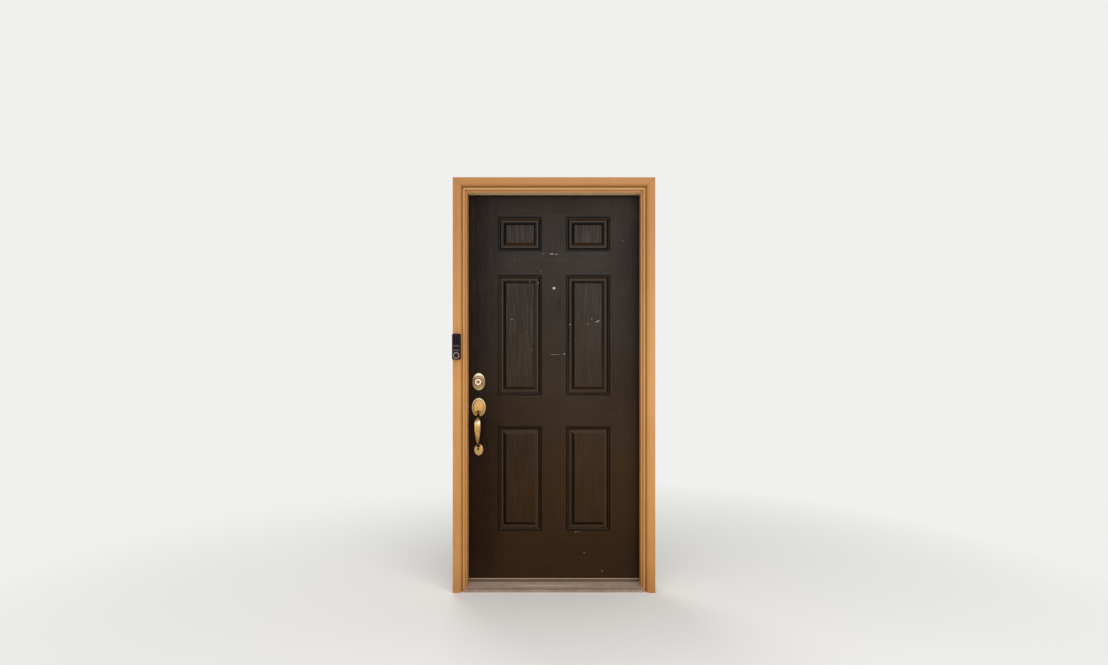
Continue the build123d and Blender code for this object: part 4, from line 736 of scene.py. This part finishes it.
def makeRoseBrass(name, look=roseLook):
    material = makeAgedBrass(name, ringLook, look["hollowReach"], look["edgeShade"])
    tree, shader, where, colour = reopen(material)
    middle = middleOf("deadbolt_rose")
    out = ovalDistance(tree, where, middle.x, middle.z, look["reach"], look["reach"])
    _, _, z = axes(tree, where)
    rim = span(tree, z, middle.z + look["rimLow"], middle.z + look["rimHigh"], 0.0, look["rimShare"])
    colour = tint(tree, rim, colour, look["rimHighlightTone"])
    colour = tint(tree, bands(tree, out, look["creamHighlight"]), colour, look["creamHighlightTone"])
    colour = tint(tree, bands(tree, out, look["shade"]), colour, ringLook["dark"])
    dress(tree, shader, colour)
    return material


# the escutcheon: painted shade in its groove from the middle (0) to the outline (1), a painted highlight on
# its rim, and a painted shadow spot under the thumbpiece
plateLook = dict(groove=(0.755, 0.80, 0.85), grooveShade=0.9, rim=tone(226, 208, 176), rimShare=0.5,
                 rimBelow=0.02, rimInset=0.006, edgeShade=0.3,
                 spotDrop=0.0226, spotRadius=0.0062, shadowSpotTone=tone(34, 16, 4))


def makeEscutcheonBrass(name, look=plateLook):
    material = makeAgedBrass(name, edgeShade=look["edgeShade"])
    tree, shader, where, colour = reopen(material)
    out = centredDistance(tree, where, "handle_escutcheon")
    inner, centre, outer = look["groove"]
    # painted highlight: the rim is pale towards its top
    _, _, z = axes(tree, where)
    upper = span(tree, z, middleOf("handle_escutcheon").z - look["rimBelow"],
                 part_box("handle_escutcheon")[1].z - look["rimInset"], 0.1, look["rimShare"])
    colour = tint(tree, product(tree, span(tree, out, centre, outer), upper), colour, look["rim"])
    # painted shade in the groove inside the rim
    line = product(tree, span(tree, out, inner, centre), span(tree, out, centre, outer, 1.0, 0.0))
    colour = tint(tree, product(tree, line, look["grooveShade"]), colour, brassLook["dark"])
    dress(tree, shader, colour)
    return material


# the viewer's pale tones are a painted highlight round its lens
viewerLook = dict(base=tone(250, 246, 240), dull=tone(238, 232, 222), dark=tone(60, 50, 44),
                  flange=tone(92, 76, 62), flangeRun=(0.42, 0.57, 0.0, 0.92), hollowReach=0.002)


def makeViewerMetal(name, look=viewerLook):
    # painted highlight: white round the lens, and dark out on the flange
    material = makeAgedBrass(name, look, look["hollowReach"])
    tree, shader, where, colour = reopen(material)
    out = centredDistance(tree, where, "viewer_barrel")
    dress(tree, shader, tint(tree, span(tree, out, *look["flangeRun"]), colour, look["flange"]))
    return material


# painted reflections along the grip, with a painted shadow at its neck and a painted highlight on its
# shoulder, from its foot (0) to its neck (1)
gripLook = dict(neck=tone(86, 58, 50), shoulder=tone(214, 194, 184), middle=tone(186, 142, 74),
                foot=tone(120, 110, 66), side=tone(48, 28, 10),
                middleRun=((0.35, 0.0), (0.5, 0.5), (0.62, 0.5), (0.70, 0.0)),
                shoulderRun=((0.66, 0.0), (0.72, 0.35), (0.77, 0.35), (0.80, 0.0)),
                footRun=(0.12, 0.42, 0.8, 0.0), neckRun=(0.76, 0.86, 0.0, 0.95),
                sideRun=(0.08, 0.45, 0.0, 0.95), dulledRun=(0.55, 0.8, 0.32, 0.38), patchScale=90.0)


def makeGripBrass(name, look=gripLook):
    material = makeAgedBrass(name)
    tree, shader, where, colour = reopen(material)
    _, _, z = axes(tree, where)
    low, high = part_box("handle_grip")
    up = span(tree, z, low.z, high.z)
    colour = tint(tree, bands(tree, up, look["middleRun"]), colour, look["middle"])
    colour = tint(tree, bands(tree, up, look["shoulderRun"]), colour, look["shoulder"])
    colour = tint(tree, span(tree, up, *look["footRun"]), colour, look["foot"])
    colour = tint(tree, span(tree, up, *look["neckRun"]), colour, look["neck"])
    patches = span(tree, noise(tree, where, look["patchScale"], 3.0), 0.45, 0.7, 0.0, 0.25)
    colour = tint(tree, patches, colour, look["side"])
    # painted shade on the grip's sides
    colour = tint(tree, span(tree, slopes(tree, where), *look["sideRun"]), colour, look["side"])
    dress(tree, shader, colour, span(tree, up, *look["dulledRun"]))
    return material


steelLook = dict(pale=tone(196, 192, 184), dull=tone(168, 164, 156), cloudScale=60.0, brushScale=1200.0,
                 brushStretch=0.08, depth=0.00003, streetSide=0.001)


def makeLockSteel(name, look=steelLook):
    material, tree, shader, where = startMaterial(name, Metallic=1.0, Roughness=0.35)
    brushing = noise(tree, mapped(tree, where, (look["brushStretch"], 1, 1)), look["brushScale"], 3.0)
    clouds = noise(tree, where, look["cloudScale"], 3.0)
    colour = tint(tree, span(tree, clouds, 0.3, 0.7), look["pale"], look["dull"])
    # painted shadow: the one screw that shows on the street side is darkened
    _, y, _ = axes(tree, where)
    outside = calc(tree, "LESS_THAN", y, leafFace - look["streetSide"])
    colour = tint(tree, outside, colour, brassLook["dark"])
    dress(tree, shader, colour, span(tree, brushing, 0.3, 0.7, 0.26, 0.46),
          relief(tree, brushing, look["depth"]))
    return material


lensLook = dict(cool=tone(196, 204, 208), clear=tone(226, 230, 232), hazeScale=300.0)


def makeLensGlass(name, look=lensLook):
    material, tree, shader, where = startMaterial(name, Roughness=0.03, IOR=1.5, Transmission_Weight=0.85)
    haze = noise(tree, where, look["hazeScale"], 2.0)
    colour = tint(tree, haze, look["cool"], look["clear"])
    dress(tree, shader, colour, span(tree, haze, 0.3, 0.7, 0.02, 0.08))
    return material


# painted shade on the lower rose's sides, and where its painted shadow spot lies
lowerRoseLook = dict(edgeShade=0.35, spotX=-0.003, spotZ=0.005, spotRadius=0.0060)


def finishLocks():
    brass = makeAgedBrass("agedBrass")
    paintPiece("knob_rose inside_knob thumbturn thumbturn_plate", brass)
    # a painted shadow spot under the thumbpiece, on the escutcheon and on the thumbpiece
    plate = middleOf("handle_escutcheon")
    spot = (plate.x, plate.z - plateLook["spotDrop"], plateLook["spotRadius"], plateLook["shadowSpotTone"])
    paintPiece("handle_escutcheon", addShadowSpot(makeEscutcheonBrass("escutcheonBrass"), *spot))
    paintPiece("thumbpiece", addShadowSpot(makeAgedBrass("thumbBrass"), *spot))
    paintPiece("handle_grip", makeGripBrass("gripBrass"))
    # a painted shadow spot on the lower rose, under the grip's foot
    rose = middleOf("lower_rose")
    roseBrass = makeAgedBrass("lowerRoseBrass", edgeShade=lowerRoseLook["edgeShade"])
    footShadow = (rose.x + lowerRoseLook["spotX"], rose.z + lowerRoseLook["spotZ"], lowerRoseLook["spotRadius"],
             plateLook["shadowSpotTone"])
    paintPiece("lower_rose", addShadowSpot(roseBrass, *footShadow))
    paintPiece("deadbolt_rose deadbolt_cylinder", makeRoseBrass("roseBrass"))
    paintPiece("viewer_barrel viewer_sleeve", makeViewerMetal("viewerMetal"))
    paintPiece("key_plug", makeAgedBrass("plugBrass", plugLook, 0.003))
    paintPiece("latch_faceplate deadbolt_faceplate latch_strike deadbolt_strike", brass)
    hinges = makeAgedBrass("hingeBrass", reach=0.003)
    paintPiece("hinge_top_jamb_plate hinge_middle_jamb_plate hinge_bottom_jamb_plate", hinges)
    paintPiece("hinge_top_leaf_plate hinge_middle_leaf_plate hinge_bottom_leaf_plate hinge_pins", hinges)
    paintPiece("frame_screws leaf_screws", hinges)
    paintPiece("deadbolt_case deadbolt_bolt latch_case latch_bolt latch_spring lock_screws",
               makeLockSteel("lockSteel"))
    paintPiece("viewer_lens", makeLensGlass("viewerGlass"))


finishLocks()
print("locks and hinges finished")


# Doorbell

bellLook = dict(shell=tone(22, 11, 7), button=tone(34, 22, 22), window=tone(24, 15, 14),
                ring=tone(136, 118, 118), ringLowReflection=tone(134, 108, 78), ringEdge=(0.86, 1.0, 0.0, 0.6),
                textureScale=1500.0, smearScale=40.0, smearLift=1.6, depth=0.00004)
# the two pale bars are painted highlights for lit edges, and the dark pocket between them is painted shade,
# rounded plates on the body's front
bellEdgeHighlights = dict(width=0.0285, height=0.0055, corner=0.0012, proud=0.0003, levels=(1.2550, 1.2330),
                face=tone(88, 70, 64), roughness=0.45, material="bellEdgeHighlight", slot="bell_ring")
bellPocketShade = dict(width=0.027, height=0.0100, corner=0.003, proud=0.0001, levels=(1.2440,),
                  face=tone(12, 6, 4), roughness=0.6, material="bellPocketShade", slot="bell_black")
bellPlate = dict(thick=0.0008, cornerSegments=4)


def makeBellPlastic(name, face, roughness, look=bellLook):
    material, tree, shader, where = startMaterial(name, Roughness=roughness, Specular_IOR_Level=0.12)
    texture = noise(tree, where, look["textureScale"], 2.0)
    smears = noise(tree, where, look["smearScale"], 3.0)
    lighter = tuple(min(1.0, part * look["smearLift"]) for part in face[:3]) + (1.0,)
    colour = tint(tree, span(tree, smears, 0.4, 0.75, 0.0, 0.6), face, lighter)
    dulled = span(tree, smears, 0.3, 0.7, roughness - 0.04, roughness + 0.08)
    dress(tree, shader, colour, dulled, relief(tree, texture, look["depth"]))
    return material


def makeBellRing(name, look=bellLook):
    material = makeBellPlastic(name, look["ring"], 0.35)
    tree, shader, where, colour = reopen(material)
    _, _, z = axes(tree, where)
    low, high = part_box("doorbell_ring")
    # painted reflection: browner towards the ring's bottom
    colour = tint(tree, span(tree, z, low.z, high.z, 0.9, 0.0), colour, look["ringLowReflection"])
    out = centredDistance(tree, where, "doorbell_ring")
    dress(tree, shader, tint(tree, span(tree, out, *look["ringEdge"]), colour, look["shell"]))
    return material


def roundedPlate(mesh, centre, mark, plate=bellPlate):
    # an upright plate that faces the street, with its front face at the centre's y
    sheet = bmesh.ops.create_grid(mesh, x_segments=1, y_segments=1, size=0.5)
    rim = sheet["verts"]
    bmesh.ops.scale(mesh, verts=rim, vec=(mark["width"], mark["height"], 1))
    bmesh.ops.rotate(mesh, verts=rim, matrix=Matrix.Rotation(math.radians(90), 3, "X"))
    bmesh.ops.translate(mesh, verts=rim, vec=centre)
    moved = extrudeBy(mesh, rim[0].link_faces[0], (0, plate["thick"], 0))
    corners = [edge for vert in rim for edge in vert.link_edges if edge.other_vert(vert) in moved]
    bmesh.ops.bevel(mesh, geom=corners, offset=mark["corner"], affect="EDGES",
                    segments=plate["cornerSegments"], profile=0.5, material=-1)


def buildBellMark(name, mark):
    body = middleOf("doorbell_body")
    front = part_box("doorbell_body")[0].y - mark["proud"]
    plates = bmesh.new()
    for level in mark["levels"]:
        roundedPlate(plates, (body.x, front, level), mark)
    bmesh.ops.recalc_face_normals(plates, faces=plates.faces)
    piece = makeObject(name, plates, makeBellPlastic(mark["material"], mark["face"], mark["roughness"]))
    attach(piece, "frame")


def finishDoorbell(look=bellLook):
    paintPiece("doorbell_body doorbell_bracket", makeBellPlastic("bellShell", look["shell"], 0.38))
    paintPiece("doorbell_button", makeBellPlastic("bellButton", look["button"], 0.3))
    paintPiece("doorbell_window", makeBellPlastic("bellWindow", look["window"], 0.08))
    paintPiece("doorbell_ring", makeBellRing("bellRing"))


finishDoorbell()
buildBellMark("doorbell_edge_highlights", bellEdgeHighlights)
buildBellMark("doorbell_pocket_shade", bellPocketShade)
print("doorbell finished")


# Stage: a pale floor that runs out into the background, and soft studio light

stageLook = dict(radius=40.0, floorSides=96, floorTone=tone(240, 239, 236), skyTone=tone(240, 240, 238),
                 nearEdge=0.8, farEdge=3.0, worldStrength=0.4)
# each lamp's place, what it points at, its size and its power
lamps = {
    "keyLamp": ((2.6, -3.6, 2.3), (0, 0, 1.0), 2.2, 80.0),
    "skyLamp": ((0.3, -4.3, 1.9), (0, 0, 1.0), 2.0, 42.0),
    "topLamp": ((-0.2, -2.9, 4.3), (0, -1.7, 0.0), 2.4, 46.0),
    "fillLamp": ((-3.2, -3.0, 1.3), (0, 0, 1.0), 2.6, 30.0),
    "backLamp": ((-1.8, 4.0, 2.8), (0, 0, 1.1), 2.6, 90.0),
}


def seenDirectly(tree):
    # rays from the camera, and those that metal and glass send on
    path = tree.nodes.new("ShaderNodeLightPath")
    mirrored = calc(tree, "MAXIMUM", path.outputs["Is Glossy Ray"], path.outputs["Is Transmission Ray"])
    return calc(tree, "MAXIMUM", path.outputs["Is Camera Ray"], mirrored)


def buildFloor(look=stageLook):
    disc = bmesh.new()
    bmesh.ops.create_circle(disc, cap_ends=True, segments=look["floorSides"], radius=look["radius"])
    material = bpy.data.materials.new("paleFloor")
    material.use_nodes = True
    tree = material.node_tree
    tree.nodes.clear()
    where = tree.nodes.new("ShaderNodeTexCoord").outputs["Object"]
    away = tree.nodes.new("ShaderNodeVectorMath")
    away.operation = "LENGTH"
    tree.links.new(where, away.inputs[0])
    far = span(tree, away.outputs["Value"], look["nearEdge"], look["farEdge"])
    amount = product(tree, far, seenDirectly(tree))
    matt = tree.nodes.new("ShaderNodeBsdfDiffuse")
    matt.inputs["Color"].default_value = look["floorTone"]
    glow = tree.nodes.new("ShaderNodeEmission")
    glow.inputs["Color"].default_value = look["skyTone"]
    both = tree.nodes.new("ShaderNodeMixShader")
    output = tree.nodes.new("ShaderNodeOutputMaterial")
    tree.links.new(amount, both.inputs[0])
    tree.links.new(matt.outputs[0], both.inputs[1])
    tree.links.new(glow.outputs[0], both.inputs[2])
    tree.links.new(both.outputs[0], output.inputs["Surface"])
    makeObject("floor", disc, material)


def lightWorld(look=stageLook):
    world = bpy.data.worlds.new("studio")
    bpy.context.scene.world = world
    world.use_nodes = True
    tree = world.node_tree
    background = tree.nodes["Background"]
    background.inputs["Color"].default_value = look["skyTone"]
    strength = span(tree, seenDirectly(tree), 0.0, 1.0, look["worldStrength"], 1.0)
    tree.links.new(strength, background.inputs["Strength"])


def hangLamps():
    for name, (place, target, size, power) in lamps.items():
        data = bpy.data.lights.new(name, "AREA")
        data.shape = "SQUARE"
        data.size = size
        data.energy = power
        lamp = bpy.data.objects.new(name, data)
        lamp.location = place
        lamp.rotation_euler = (Vector(target) - Vector(place)).to_track_quat("-Z", "Y").to_euler()
        bpy.context.scene.collection.objects.link(lamp)


buildFloor()
lightWorld()
hangLamps()
bpy.context.scene.view_settings.view_transform = "Standard"
print("stage lit")
